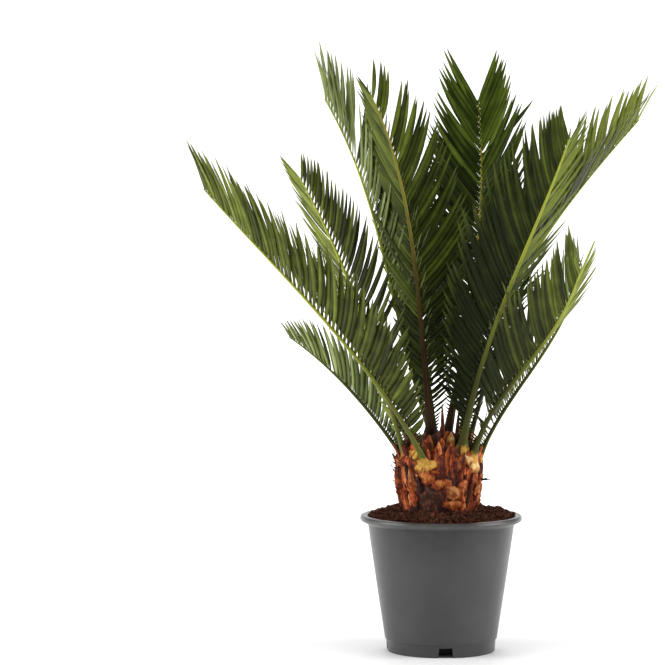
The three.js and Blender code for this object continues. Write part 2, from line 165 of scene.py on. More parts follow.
def pointing(bearing, rise):
    """Direction of a bearing round the pot and a rise above the level."""
    b, r = math.radians(bearing), math.radians(rise)
    return Vector((math.cos(b) * math.cos(r), math.sin(b) * math.cos(r), math.sin(r)))


def face_out(piece):
    """Turns all faces of a closed piece outwards."""
    only(piece)
    bpy.ops.object.mode_set(mode="EDIT")
    bpy.ops.mesh.select_all(action="SELECT")
    bpy.ops.mesh.normals_make_consistent(inside=False)
    bpy.ops.object.mode_set(mode="OBJECT")


def finish_piece(piece, material, nodes):
    """Gives a piece its material, its body and the solids that it stands for."""
    piece.data.materials.clear()
    piece.data.materials.append(material)
    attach(piece, "root")
    if nodes:
        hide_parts(*nodes)
    piece.data.calc_loop_triangles()
    print(piece.name, len(piece.data.loop_triangles), "triangles")


print("a middle grey in linear values:", [round(v, 3) for v in linear("#808080")])

# %% [markdown]
# ## The pot
# A nursery pot is moulded in one piece from polypropylene: a thin tapering wall, a rolled lip to lift
# it by, and a foot that is set in a little so that pots can be stacked. It is round, so its half
# section is drawn once and spun about the axis. The section runs from the middle of the underside
# out to the foot, up to the lip and down the inside. Its small offsets round the corners.

# %% Pot: half section, spun
POT_HEIGHT = 143
WALL = 2.0
LIP = 85.1
LIP_HEIGHT = 9.5
WALL_TOP = 77
FOOT = 56.7
FOOT_HEIGHT = 13
FOOT_STEP = 2.2
PAD = 33
CHANNEL = 10.8
SPIN_STEPS = 144
MERGED_WITHIN = 0.00002


def spun(name, section, steps):
    """A round body: one point is extruded along the half section, and the chain is spun."""
    start_clean()
    bpy.ops.mesh.primitive_plane_add(size=0.01)
    piece = bpy.context.object
    piece.name = piece.data.name = name
    bpy.ops.object.mode_set(mode="EDIT")
    bpy.ops.mesh.select_all(action="SELECT")
    bpy.ops.mesh.merge(type="CENTER")
    here = Vector((section[0][0], 0, section[0][1])) * MM
    bpy.ops.transform.translate(value=here)
    for radius, height in section[1:]:
        there = Vector((radius, 0, height)) * MM
        bpy.ops.mesh.extrude_region_move(TRANSFORM_OT_translate={"value": there - here})
        here = there
    bpy.ops.mesh.select_all(action="SELECT")
    bpy.ops.mesh.spin(steps=steps, angle=math.tau, center=(0, 0, 0), axis=(0, 0, 1))
    bpy.ops.mesh.select_all(action="SELECT")
    bpy.ops.mesh.remove_doubles(threshold=MERGED_WITHIN)
    bpy.ops.mesh.normals_make_consistent(inside=False)
    bpy.ops.object.mode_set(mode="OBJECT")
    return piece


lip_foot = POT_HEIGHT - LIP_HEIGHT
pot_section = [
    (0, 0),
    (PAD, 0),
    (PAD + 0.8, 0.8),
    (PAD + 2, CHANNEL),
    (FOOT - WALL - 1, CHANNEL),
    (FOOT - WALL, 0.6),
    (FOOT - WALL + 0.6, 0),
    (FOOT - 0.7, 0),
    (FOOT, 0.8),
    (FOOT + 0.8, FOOT_HEIGHT - 0.8),
    (FOOT + 1.2, FOOT_HEIGHT - 0.1),
    (FOOT + FOOT_STEP - 0.1, FOOT_HEIGHT + 0.5),
    (FOOT + FOOT_STEP, FOOT_HEIGHT + 1.2),
    (FOOT + (WALL_TOP - FOOT) * 0.5 + 1.2, (FOOT_HEIGHT + lip_foot) * 0.5),
    (WALL_TOP - 0.3, lip_foot - 1),
    (WALL_TOP + 0.5, lip_foot + 0.2),
    (LIP - 1.8, POT_HEIGHT - 6.4),
    (LIP - 0.6, POT_HEIGHT - 5.4),
    (LIP, POT_HEIGHT - 3.8),
    (LIP - 0.3, POT_HEIGHT - 2.0),
    (LIP - 1.3, POT_HEIGHT - 0.6),
    (LIP - 2.8, POT_HEIGHT),
    (WALL_TOP + 1.6, POT_HEIGHT - 0.3),
    (WALL_TOP + 0.2, POT_HEIGHT - 1.0),
    (WALL_TOP - 0.8, POT_HEIGHT - 3),
    (WALL_TOP - WALL, lip_foot - 1),
    (FOOT - WALL + 0.4, CHANNEL + WALL + 1),
    (FOOT - WALL - 0.6, CHANNEL + WALL),
    (PAD + 1, CHANNEL + WALL),
    (PAD - 1.5, WALL),
    (0, WALL),
]
pot = spun("pot_wall", pot_section, SPIN_STEPS)
print("pot", [round(v * 1000, 1) for v in pot.dimensions])

# %% [markdown]
# ## Drain notches
# Four notches in the foot let water out. Each is a little wider at the floor than at its top. One
# block is narrowed at its upper face, the four are joined, and all are cut away in one go.

# %% Pot: notches
NOTCHES = 4
FIRST_NOTCH = 273
NOTCH_FOOT = 16
NOTCH_TOP = 13.6
NOTCH_HEIGHT = 10.4
NOTCH_DEPTH = 12
NOTCH_BELOW = 2
POT_CREASE = 32
blocks = []
for n in range(NOTCHES):
    start_clean()
    bearing = math.radians(FIRST_NOTCH + n * 360 / NOTCHES)
    centre = Vector((math.cos(bearing), math.sin(bearing), 0)) * (FOOT - 1) * MM
    centre.z = (NOTCH_HEIGHT - NOTCH_BELOW) / 2 * MM
    bpy.ops.mesh.primitive_cube_add(size=1, location=centre, rotation=(0, 0, bearing))
    block = bpy.context.object
    block.scale = Vector((NOTCH_DEPTH, NOTCH_FOOT, NOTCH_HEIGHT + NOTCH_BELOW)) * MM
    bpy.ops.object.transform_apply(location=False, rotation=False, scale=True)
    for vertex in block.data.vertices:
        if vertex.co.z > 0:
            vertex.co.y *= NOTCH_TOP / NOTCH_FOOT
    blocks.append(block)
start_clean()
for block in blocks:
    block.select_set(True)
bpy.context.view_layer.objects.active = blocks[0]
bpy.ops.object.join()
cutter = blocks[0]
only(pot)
cut = pot.modifiers.new("notches", "BOOLEAN")
cut.operation = "DIFFERENCE"
cut.object = cutter
cut.solver = "EXACT"
bpy.ops.object.modifier_apply(modifier=cut.name)
bpy.data.objects.remove(cutter)
only(pot)
bpy.ops.object.shade_smooth_by_angle(angle=math.radians(POT_CREASE))
print("pot faces after the notches:", len(pot.data.polygons))

# %% [markdown]
# ## Polypropylene
# The pot is injection moulded polypropylene, coloured dark grey right through. It has a soft satin
# gloss, because the mould was lightly blasted, and handling has left faint dull smudges. The lip
# shades the wall below it, which soft side lights would wash out, so the wall just under the lip
# gets a painted shade, and the lip itself gets a painted highlight, lighter than the wall. Peat dust
# lies on the lip's flat top, and its dark mix there is also a painted shade. So the height of each
# point changes the tone that the smudges give, adds the painted shade and highlight, and mixes in
# the dust. The grain of the mould is half a millimetre, drawn at one so that it shows at all.

# %% Material: polypropylene
PAINTED_SHADE_UNDER_LIP = 0.35
PAINTED_HIGHLIGHT_ON_LIP = 0.35
DARKER_FROM = 0.095
PAINTED_HIGHLIGHT_OVER = 3
DUST_AND_SHADE_FROM, DUST_AND_SHADE_TO = 2.2, 0.4
DUST_AND_SHADE_MIX = 0.8
DUST_AND_SHADE_COLOUR = "#2a1f1a"
plastic, inputs, link = new_material("polypropylene_dark_grey", Roughness=0.4, IOR=1.49)
inputs["Specular IOR Level"].default_value = 0.42
place = add(plastic, "ShaderNodeTexCoord")
broad = {"Scale": 22.0, "Detail": 4.0, "Roughness": 0.6}
smudge = add(plastic, "ShaderNodeTexNoise", broad, {"Vector": place.outputs["Object"]})
axes = add(plastic, "ShaderNodeSeparateXYZ", None, {"Vector": place.outputs["Object"]})
# Painted shade: the wall is darkened from here up to the foot of the lip.
under = {"From Min": DARKER_FROM, "From Max": lip_foot * MM, "To Max": PAINTED_SHADE_UNDER_LIP}
under = add(plastic, "ShaderNodeMapRange", under, {"Value": axes.outputs["Z"]})
# Painted highlight: from the lip's foot up the tone turns lighter over three millimetres, so the whole
# lip is lighter than the wall.
over = {"From Min": lip_foot * MM, "From Max": (lip_foot + PAINTED_HIGHLIGHT_OVER) * MM}
over["To Max"] = -PAINTED_SHADE_UNDER_LIP - PAINTED_HIGHLIGHT_ON_LIP
over = add(plastic, "ShaderNodeMapRange", over, {"Value": axes.outputs["Z"]})
shade = add(plastic, "ShaderNodeMath", None, {0: under.outputs["Result"], 1: over.outputs["Result"]})
level = {0: smudge.outputs["Fac"], 1: shade.outputs["Value"]}
level = add(plastic, "ShaderNodeMath", {"operation": "SUBTRACT"}, level)
stops = [(0.05, "#2c2c2c"), (0.35, "#3a3a3a"), (0.6, "#3f3f3f"), (0.8, "#464645"), (1.0, "#565655")]
tone = add(plastic, "ShaderNodeValToRGB", {"stops": stops}, {"Fac": level.outputs["Value"]})
# Peat dust on the flat top of the lip; its dark mix there is also a painted shade.
top = {"From Min": (POT_HEIGHT - DUST_AND_SHADE_FROM) * MM, "From Max": (POT_HEIGHT - DUST_AND_SHADE_TO) * MM}
top["To Max"] = DUST_AND_SHADE_MIX
top = add(plastic, "ShaderNodeMapRange", top, {"Value": axes.outputs["Z"]})
dust_and_shade = {0: top.outputs["Result"], 6: tone.outputs["Color"]}
dust_and_shade = add(plastic, "ShaderNodeMix", {"data_type": "RGBA", 7: linear(DUST_AND_SHADE_COLOUR)}, dust_and_shade)
gloss = {"To Min": 0.25, "To Max": 0.42}
gloss = add(plastic, "ShaderNodeMapRange", gloss, {"Value": smudge.outputs["Fac"]})
fine = {"Scale": 900.0, "Detail": 2.0}
grain = add(plastic, "ShaderNodeTexNoise", fine, {"Vector": place.outputs["Object"]})
bump = {"Strength": 0.12, "Distance": 0.0003}
relief = add(plastic, "ShaderNodeBump", bump, {"Height": grain.outputs["Fac"]})
link(dust_and_shade.outputs[2], inputs["Base Color"])
link(gloss.outputs["Result"], inputs["Roughness"])
link(relief.outputs["Normal"], inputs["Normal"])
finish_piece(pot, plastic, ["pot"])

# %% [markdown]
# ## The peat
# Peat is heaped right up to the pot's lip and rises in a low mound to the trunk. Its body is spun
# like the pot, and waves of three sizes then make its top uneven. What makes it look like peat is
# what lies loose on it: thousands of crumbs of all sizes, and bits of root.

# %% Peat: the mound
PEAT_EDGE = 140.5
PEAT_SEAT = 148.0
SEAT_RADIUS = 46
PEAT_RINGS = 26
PEAT_STEPS = 120
INSIDE = WALL_TOP - WALL - 0.4
PEAT_RADII = [SEAT_RADIUS, SEAT_RADIUS + 3, INSIDE - 19, INSIDE - 9, INSIDE]
HEAPED = 2.2
PEAT_HEIGHTS = [PEAT_SEAT, PEAT_SEAT - 0.4, PEAT_EDGE + 6.2]
PEAT_HEIGHTS += [PEAT_EDGE + 2.6 + HEAPED, PEAT_EDGE + HEAPED]


def peat_height(radius, bearing):
    """Height of the peat at a place, in millimetres."""
    rise = np.interp(radius, PEAT_RADII, PEAT_HEIGHTS)
    wave = np.sin(3 * bearing + radius / 9) + np.sin(7 * bearing - radius / 5)
    fine = np.sin(13 * bearing + radius / 2.3) * np.sin(9 * bearing - radius / 3.1)
    return rise + 0.8 * wave + 0.6 * fine


peat_section = [(0, WALL + 0.5), (PAD - 2, WALL + 0.5), (PAD + 0.5, CHANNEL + WALL + 0.5)]
peat_section += [(FOOT - WALL - 1, CHANNEL + WALL + 0.5), (INSIDE, lip_foot - 1)]
for ring in range(PEAT_RINGS + 1):
    radius = INSIDE - (INSIDE - SEAT_RADIUS + 6) * ring / PEAT_RINGS
    peat_section.append((radius, PEAT_EDGE))
peat_section.append((0, PEAT_EDGE))
peat = spun("peat_mound", peat_section, PEAT_STEPS)
for vertex in peat.data.vertices:
    if vertex.co.z > (PEAT_EDGE - 0.01) * MM:
        radius = math.hypot(vertex.co.x, vertex.co.y) / MM
        bearing = math.atan2(vertex.co.y, vertex.co.x)
        vertex.co.z = peat_height(radius, bearing) * MM
only(peat)
bpy.ops.object.shade_smooth()
print("peat", [round(v * 1000, 1) for v in peat.dimensions])

# %% [markdown]
# ## Crumbs
# A crumb is a small lump with a few faces, squeezed and turned at random. One ball of twenty faces is
# copied by arrays, more of the copies small than large. The crumbs reach on to the lip's inner
# shoulder, and sixty big ones lie mostly near it.

# %% Peat: crumbs
dice = np.random.default_rng(7)
CRUMBS = 5200
CRUMB_SIZES = (0.5, 2.7)
CRUMB_SPREAD = 0.85
SHOULDER = WALL_TOP + 0.4
LUMPS = 60
LUMP_SIZES = (2.4, 4.2)
LUMP_SPREAD = 0.35
STREWN_FROM = SEAT_RADIUS - 6
STREWN_OVER = SHOULDER - SEAT_RADIUS + 5
MOSTLY_SMALL = 2.6
LUMP_CREASE = 60


def random_turns(count):
    """Random turns in space, one matrix each."""
    q = dice.normal(size=(count, 4))
    q /= np.linalg.norm(q, axis=1)[:, None]
    w, x, y, z = q.T
    rows = [1 - 2 * (y * y + z * z), 2 * (x * y - w * z), 2 * (x * z + w * y)]
    rows += [2 * (x * y + w * z), 1 - 2 * (x * x + z * z), 2 * (y * z - w * x)]
    rows += [2 * (x * z - w * y), 2 * (y * z + w * x), 1 - 2 * (x * x + y * y)]
    return np.stack(rows, axis=1).reshape(count, 3, 3)


start_clean()
bpy.ops.mesh.primitive_ico_sphere_add(subdivisions=1, radius=1)
lump = bpy.context.object
lump_points = np.array([vertex.co[:] for vertex in lump.data.vertices])
lump_faces = np.array([polygon.vertices[:] for polygon in lump.data.polygons])
bpy.data.objects.remove(lump)


def scatter_lumps(name, count, sizes, spread):
    """Lumps strewn over the peat, each pressed a little into it."""
    size = sizes[0] + (sizes[1] - sizes[0]) * dice.random(count) ** MOSTLY_SMALL
    radius = STREWN_FROM + STREWN_OVER * dice.random(count) ** spread
    bearing = dice.random(count) * math.tau
    height = peat_height(radius, bearing) + size * 0.2
    centre = np.stack([radius * np.cos(bearing), radius * np.sin(bearing), height], axis=1)
    squeeze = 0.5 + 0.6 * dice.random((count, 3))
    rough = 1 + 0.35 * dice.normal(size=(count, len(lump_points), 1))
    local = lump_points[None] * np.clip(rough, 0.5, 1.5) * squeeze[:, None] * size[:, None, None]
    points = np.einsum("nij,nkj->nki", random_turns(count), local) + centre[:, None]
    reach = np.hypot(points[..., 0], points[..., 1])
    points[..., :2] *= np.minimum(1, (SHOULDER + 0.6) / reach)[..., None]
    faces = lump_faces[None] + np.arange(count)[:, None, None] * len(lump_points)
    shade = {"shade": np.repeat(dice.random(count), len(lump_points))}
    return from_arrays(name, points.reshape(-1, 3), faces.reshape(-1, 3).tolist(), shade, LUMP_CREASE)


crumbs = scatter_lumps("peat_crumbs", CRUMBS, CRUMB_SIZES, CRUMB_SPREAD)
lumps = scatter_lumps("peat_lumps", LUMPS, LUMP_SIZES, LUMP_SPREAD)
print("crumbs and lumps:", CRUMBS + LUMPS)

# %% [markdown]
# ## Bits of root
# Dry roots lie between the crumbs: thin spikes with four sides, along a line that bends a little. One
# function makes all thin spikes here, and the trunk's bristles too.

# %% Peat: fibres
FIBRES = 170
FIBRE_LIFTS = (1.4, 1.6)
SPIKE_STEPS = 5
SPIKE_TAPER = 0.85
SPIKE_CREASE = 60


def spikes(name, rows):
    """Tapering four-sided spikes: start, heading, length, thickness and how much the end bends up."""
    points, faces = [], []
    for start, heading, length, thick, bend in rows:
        place, course = Vector(start), Vector(heading).normalized()
        first = len(points)
        for k in range(SPIKE_STEPS + 1):
            side = course.cross(Vector((0, 0, 1))).normalized()
            other = course.cross(side)
            half = thick / 2 * (1 - SPIKE_TAPER * k / SPIKE_STEPS)
            points += [list(place + a * half) for a in (side, other, -side, -other)]
            place = place + course * (length / SPIKE_STEPS)
            course = (course + Vector((0, 0, bend / SPIKE_STEPS))).normalized()
        for k in range(SPIKE_STEPS):
            for c in range(4):
                a, b = first + 4 * k + c, first + 4 * k + (c + 1) % 4
                faces.append((a, b, b + 4, a + 4))
        faces.append((first + 3, first + 2, first + 1, first))
        faces.append(tuple(len(points) - 4 + c for c in range(4)))
    piece = from_arrays(name, points, faces, None, SPIKE_CREASE)
    face_out(piece)
    return piece


fibre_rows = []
for n in range(FIBRES):
    radius = SEAT_RADIUS - 3 + (INSIDE - SEAT_RADIUS) * dice.random()
    bearing = dice.random() * math.tau
    heading = dice.random() * math.tau
    length = 4 + 9 * dice.random()
    start = (radius * math.cos(bearing), radius * math.sin(bearing))
    end = (start[0] + length * math.cos(heading), start[1] + length * math.sin(heading))
    if math.hypot(*end) > INSIDE - 1:
        continue
    low = float(peat_height(radius, bearing)) + FIBRE_LIFTS[0]
    high = float(peat_height(math.hypot(*end), math.atan2(end[1], end[0]))) + FIBRE_LIFTS[1]
    course = (end[0] - start[0], end[1] - start[1], high - low)
    thick = 0.5 + 0.35 * dice.random()
    fibre_rows.append(((*start, low), course, length, thick, 0.25 * dice.normal()))
fibres = spikes("peat_fibres", fibre_rows)
print("bits of root:", len(fibre_rows))

# %% [markdown]
# ## Peat, dry on top
# Peat is half-rotted moss. It is dull all over, dark brown where it is damp and redder where the top
# has dried. Its grain runs from dust to four millimetres, and each crumb has a shade of its own. The
# bits of root are dry bast, dull too but lighter, with blotches of eight millimetres.

# %% Materials: peat and fibres
peat_stuff, inputs, link = new_material("peat", Roughness=0.95, IOR=1.4)
inputs["Specular IOR Level"].default_value = 0.2
place = add(peat_stuff, "ShaderNodeTexCoord")
grit = {"Scale": 260.0, "Detail": 6.0, "Roughness": 0.7}
clod = add(peat_stuff, "ShaderNodeTexNoise", grit, {"Vector": place.outputs["Object"]})
own = add(peat_stuff, "ShaderNodeAttribute", {"attribute_name": "shade"})
level = weighted(peat_stuff, [(own, 0.16), (clod, 1.0)], 0.0)
stops = [(0.34, "#180b07"), (0.54, "#3a1c12"), (0.72, "#54301e"), (0.88, "#74482c")]
tone = add(peat_stuff, "ShaderNodeValToRGB", {"stops": stops}, {"Fac": level})
bump = {"Strength": 0.7, "Distance": 0.001}
relief = add(peat_stuff, "ShaderNodeBump", bump, {"Height": clod.outputs["Fac"]})
link(tone.outputs["Color"], inputs["Base Color"])
link(relief.outputs["Normal"], inputs["Normal"])

fibre_stuff, inputs, link = new_material("dry_root_fibre", Roughness=0.85, IOR=1.4)
place = add(fibre_stuff, "ShaderNodeTexCoord")
grit = {"Scale": 120.0, "Detail": 2.0}
streak = add(fibre_stuff, "ShaderNodeTexNoise", grit, {"Vector": place.outputs["Object"]})
stops = [(0.35, "#38200f"), (0.55, "#5e3c24"), (0.75, "#8a6540")]
tone = add(fibre_stuff, "ShaderNodeValToRGB", {"stops": stops}, {"Fac": streak.outputs["Fac"]})
link(tone.outputs["Color"], inputs["Base Color"])
finish_piece(peat, peat_stuff, ["peat"])
finish_piece(crumbs, peat_stuff, [])
finish_piece(lumps, peat_stuff, [])
finish_piece(fibres, fibre_stuff, [])

# %% [markdown]
# ## The trunk
# A sago palm's trunk is pith wrapped in the feet of old fronds. Under them it is a barrel that
# narrows at the top, where the fronds leave it. The barrel is spun from the same heights and radii as
# the solid, and two clouds of noise push it in and out. It only shows where old feet have dropped off.

# %% Trunk: the barrel
TRUNK_PROFILE = [(148, 39.5), (158, 41.5), (172, 43), (187, 44)]
TRUNK_PROFILE += [(203, 43), (213, 37), (222, 28.5), (230, 16.5)]
TRUNK_TOP = 234
TRUNK_SHIFT = -2.5
BARREL_FOOT, BARREL_TOP, BARREL_STEP = 144, 231, 1.5
BARREL_DEPTH = 2.2
BARREL_STEPS = 150
BARREL_CLOUDS = (("swell", 0.014, 4.0), ("rough", 0.004, 1.6))
TRUNK_HEIGHTS = [height for height, radius in TRUNK_PROFILE] + [TRUNK_TOP]
TRUNK_RADII = [radius for height, radius in TRUNK_PROFILE] + [0]


def trunk_radius(height):
    """Radius of the trunk at a height, in millimetres."""
    return np.interp(height, TRUNK_HEIGHTS, TRUNK_RADII)


trunk_section = [(0, BARREL_FOOT)]
for height in np.arange(BARREL_FOOT, BARREL_TOP, BARREL_STEP):
    trunk_section.append((float(trunk_radius(height)) - BARREL_DEPTH, float(height)))
trunk_section.append((0, TRUNK_TOP - 2))
trunk = spun("trunk_barrel", trunk_section, BARREL_STEPS)
only(trunk)
for label, size, strength in BARREL_CLOUDS:
    clouds = bpy.data.textures.new(label, "CLOUDS")
    clouds.noise_scale = size
    push = trunk.modifiers.new(label, "DISPLACE")
    push.texture = clouds
    push.texture_coords = "LOCAL"
    push.strength = strength * MM
    push.mid_level = 0.6
    bpy.ops.object.modifier_apply(modifier=push.name)
trunk.location.x = TRUNK_SHIFT * MM
bpy.ops.object.transform_apply(location=True, rotation=False, scale=False)
bpy.ops.object.shade_smooth()
print("barrel", [round(v * 1000, 1) for v in trunk.dimensions])

# %% [markdown]
# ## One woody scale
# Three things cover the barrel. A stub is the foot of a frond that was cut off: a thick rounded
# plate that stands out most at its top and is ragged at its lower edge. A pointed scale once wrapped
# a bud: it is long, thin and free at its tip. A pad is the clasping foot of a living frond, narrow
# and thick below, where it leaves the trunk, and flatter above. All three are a grid of points over
# the trunk's skin, with a second grid behind it that closes the shell. What differs is the outline,
# how far each point is lifted off the skin, and a shade that the bark reads. That shade is painted
# light and shade: lighter where light falls and darker in the hollows, and a third as light on the
# back of the shell, so the gaps between scales are painted darker.

# %% Trunk: one scale
ROWS, COLUMNS = 13, 11
SKIN_DEPTH = 1.8
SCALE_CREASE = 55
ROUGH_EDGE = {"point": 1.0, "stub": 0.6, "pad": 0.3}
ACROSS = np.linspace(-1, 1, COLUMNS)
UPWARD = np.linspace(0, 1, ROWS)


def ramp(value):
    """Runs smoothly from 0 to 1 as the value does."""
    value = np.clip(value, 0, 1)
    return value * value * (3 - 2 * value)


def shell_faces(rows, columns):
    """Faces of two grids, one behind the other, joined along their edges."""
    back = rows * columns
    faces = []
    for r in range(rows - 1):
        for c in range(columns - 1):
            a = r * columns + c
            faces.append((a, a + 1, a + 1 + columns, a + columns))
            faces.append((back + a, back + a + columns, back + a + 1 + columns, back + a + 1))
    edge = list(range(columns)) + [r * columns + columns - 1 for r in range(1, rows)]
    edge += [(rows - 1) * columns + c for c in range(columns - 2, -1, -1)]
    edge += [r * columns for r in range(rows - 2, 0, -1)]
    faces += [(b, a, back + a, back + b) for a, b in zip(edge, edge[1:] + edge[:1])]
    return faces


def scale(kind, bearing, height, wide, tall, proud, seed):
    """Points and shades of one scale. t runs up it and s across it."""
    t, s = np.meshgrid(UPWARD, ACROSS, indexing="ij")
    wave = np.random.default_rng(seed).random(6) * math.tau
    inside = np.minimum(1 - np.abs(s), 1 - np.abs(2 * t - 1))
    if kind == "point":
        half = (1 - t**2.4) ** 0.8 * (0.75 + 0.25 * np.sin(np.pi * np.minimum(1, 1.5 * t + 0.15)))
        lift = (0.3 + 0.7 * t**0.8) * (1 - 0.5 * s**2)
        # Painted light and shade: one side of a pointed scale is lit and the other shaded, and it is
        # lighter towards its tip and its edges.
        shade = 0.4 + 0.3 * s * np.sign(np.sin(wave[0])) + 0.3 * t**2 + 0.2 * np.abs(s) ** 4
        depth = 0.7 + 3.6 * (1 - t)
    elif kind == "stub":
        half = (1 - np.abs(2 * t - 1) ** 3) ** 0.45
        lift = ramp(inside / 0.2) * (0.55 + 0.45 * t)
        # Painted light and shade: a stub is lighter towards its top, where light falls from above, and
        # darker towards its outline.
        shade = ramp(inside / 0.5) * (0.15 + 0.75 * t)
        depth = 5.0
    else:
        half = (1 - np.abs(2 * t - 1) ** 5) ** 0.4 * (0.6 + 0.4 * ramp(t / 0.6))
        lift = ramp((1 - np.abs(s)) / 0.4) * (1.05 - 0.5 * t) * (0.75 + 0.25 * ramp(t / 0.15))
        # Painted light and shade: a pad is lighter towards its top and middle, and darker towards its
        # sides and foot.
        shade = ramp((1 - np.abs(s)) / 0.35) * ramp(t / 0.5)
        depth = 5.0
    half = wide / 2 * np.maximum(half, 0.04)
    rough = ROUGH_EDGE[kind]
    half = half * (1 + rough * (0.16 * np.sin(7 * t + wave[0]) + 0.1 * np.sin(15 * t + wave[1])))
    ripple = rough * (0.2 * np.sin(5 * s + wave[2] + 2 * t) + 0.14 * np.sin(11 * s + 3 * t + wave[3]))
    ripple = ripple + 0.1 * np.sin(9 * t + wave[4] + 2 * s)
    w = proud * lift * (1 + ripple) - SKIN_DEPTH
    u = s * half + 0.07 * wide * np.sin(np.pi * t + wave[5])
    z = height + (t - 0.5) * tall * (1 + 0.05 * np.sin(4 * s + wave[0]))
    if kind != "point":
        z = z + 0.22 * u * np.sin(wave[3])
        z = z - (1 - t) ** 2 * (1.2 * np.sin(5 * s + wave[1]) + 0.7 * np.sin(13 * s + wave[2]))
    layers = []
    for out in (w, w - depth):
        radius = trunk_radius(z) + out
        turn = math.radians(bearing) + u / np.maximum(trunk_radius(z), 15)
        layers.append(np.stack([radius * np.cos(turn) + TRUNK_SHIFT, radius * np.sin(turn), z], axis=-1))
    points = np.concatenate([layer.reshape(-1, 3) for layer in layers])
    # The back grid gets a third of the shade, so the shell's sides down in the gaps are painted darker.
    return points, np.concatenate([shade.ravel(), shade.ravel() * 0.3])


def joined(name, made):
    """Many scales as one mesh, from the points and the shades of each."""
    one = np.array(shell_faces(ROWS, COLUMNS))
    points = np.concatenate([places for places, shade in made])
    shade = np.concatenate([values for places, values in made])
    size = 2 * ROWS * COLUMNS
    faces = np.concatenate([one + n * size for n in range(len(made))])
    return from_arrays(name, points, faces.tolist(), {"shade": shade}, SCALE_CREASE)


print("points on a scale:", 2 * ROWS * COLUMNS)

# %% [markdown]
# ## Where the scales sit
# The front of this trunk is worn: low down, left of the middle, the old feet are gone, a band of
# stubs slants down past that place, and on the left the scales stand on end. Those are placed one by
# one: the kind, its colour, its bearing and height on the trunk, then width, height and how far it
# stands out. The sides and the back are filled by the spiral in which the plant makes its leaves,
# 137.5 degrees from one to the next. In front the spiral goes on between the placed ones, thin and
# dark, and it leaves the worn place bare.

# %% Trunk: scales in their places
FRONT_SCALES = [
    ("pad", "cream", 253, 198, 21, 13, 5.2),
    ("pad", "cream", 240, 197, 17, 13, 4.6),
    ("stub", "amber", 247, 192, 20, 9, 4.2),
    ("pad", "cream", 225, 214, 10, 22, 5.0),
    ("pad", "cream", 230, 206, 11, 13, 4.4),
    ("point", "orange", 218, 208, 10, 22, 4.5),
    ("point", "red", 208, 203, 11, 24, 4.2),
    ("point", "tan", 226, 186, 9, 22, 5.2),
    ("point", "orange", 213, 183, 11, 26, 4.6),
    ("point", "orange", 226, 167, 12, 24, 4.6),
    ("point", "orange", 212, 161, 11, 22, 4.2),
    ("point", "dark", 198, 178, 9, 34, 3.6),
    ("point", "red", 201, 160, 9, 24, 3.8),
    ("point", "dark", 239, 180, 7, 22, 3.2),
    ("point", "orange", 252, 189, 22, 8, 4.6),
    ("point", "plum", 270, 203, 14, 30, 5.0),
    ("point", "orange", 262, 206, 8, 24, 4.4),
    ("point", "red", 281, 202, 9, 30, 4.8),
    ("point", "plum", 294, 203, 12, 30, 5.2),
    ("point", "red", 305, 199, 8, 26, 4.2),
    ("stub", "amber", 252, 184, 19, 14, 3.8),
    ("stub", "amber", 271, 179, 23, 12, 4.4),
    ("stub", "tan", 288, 170, 23, 16, 4.8),
    ("stub", "amber", 302, 176, 14, 17, 4.0),
    ("stub", "amber", 292, 157, 25, 11, 4.2),
    ("point", "orange", 302, 163, 11, 25, 5.4),
    ("point", "red", 299, 185, 11, 16, 4.6),
    ("point", "dark", 314, 168, 7, 28, 3.8),
    ("stub", "amber", 325, 184, 12, 13, 4.8),
    ("stub", "tan", 329, 171, 10, 13, 4.8),
    ("point", "red", 332, 158, 10, 18, 4.2),
    ("pad", "pale", 324, 197, 21, 17, 5.4),
    ("pad", "pale", 312, 207, 15, 20, 6.2),
    ("point", "orange", 320, 192, 20, 9, 4.4),
    ("pad", "cream", 203, 208, 10, 12, 4.0),
    ("stub", "red", 262, 190, 12, 9, 4.2),
]
GOLDEN_TURN = 137.508
SPIRAL_SCALES = 150
SPIRAL_FOOT, SPIRAL_RISE, SPIRAL_START = 151, 56, 8
FRONT_FROM, FRONT_TO = 193, 338
WORN_FROM, WORN_TO, WORN_TOP = 230, 274, 180
BETWEEN = 0.62
chance = random.Random(11)
dealt = {tint: [] for tint in ("orange", "amber", "tan", "red", "dark", "plum", "cream", "pale")}
for n, (kind, tint, *sizes) in enumerate(FRONT_SCALES):
    dealt[tint].append((kind, *sizes, n))
for n in range(SPIRAL_SCALES):
    height = SPIRAL_FOOT + SPIRAL_RISE * n / SPIRAL_SCALES
    bearing = (n * GOLDEN_TURN + SPIRAL_START) % 360
    kind = chance.choice(["stub", "point", "point"])
    tint = chance.choices(["orange", "red", "dark", "plum"], [7, 5, 3, 3])[0]
    if kind == "stub":
        tint = chance.choice(["amber", "amber", "tan"])
    widths, heights = ((11, 17), (9, 13)) if kind == "stub" else ((9, 13), (18, 28))
    wide = chance.uniform(*widths)
    tall = chance.uniform(*heights)
    proud = chance.uniform(3.4, 5.2)
    if not FRONT_FROM < bearing < FRONT_TO:
        dealt[tint].append((kind, bearing, height, wide, tall, proud, 100 + n))
    elif height > WORN_TOP or not WORN_FROM < bearing < WORN_TO:
        tint = chance.choice(["red", "plum", "dark"])
        dealt[tint].append(("point", bearing, height, wide, tall, proud * BETWEEN, 100 + n))
scales = {}
for tint, rows in dealt.items():
    scales[tint] = joined("trunk_scales_" + tint, [scale(*row) for row in rows])
print("scales on the trunk:", sum(len(rows) for rows in dealt.values()))

# %% [markdown]
# ## Bud scales
# Between the feet of the fronds stand pointed papery scales, which once wrapped the buds. They are
# wide at the foot, run to a point, and lean in to the middle. The spiral deals them out: those low
# down are plum and red, those in the middle darker. Six more are placed in front, where the gaps
# between the feet show them, and three thin young spears stand above. The grid is the one of the
# trunk's scales, but it stands free instead of following the skin.


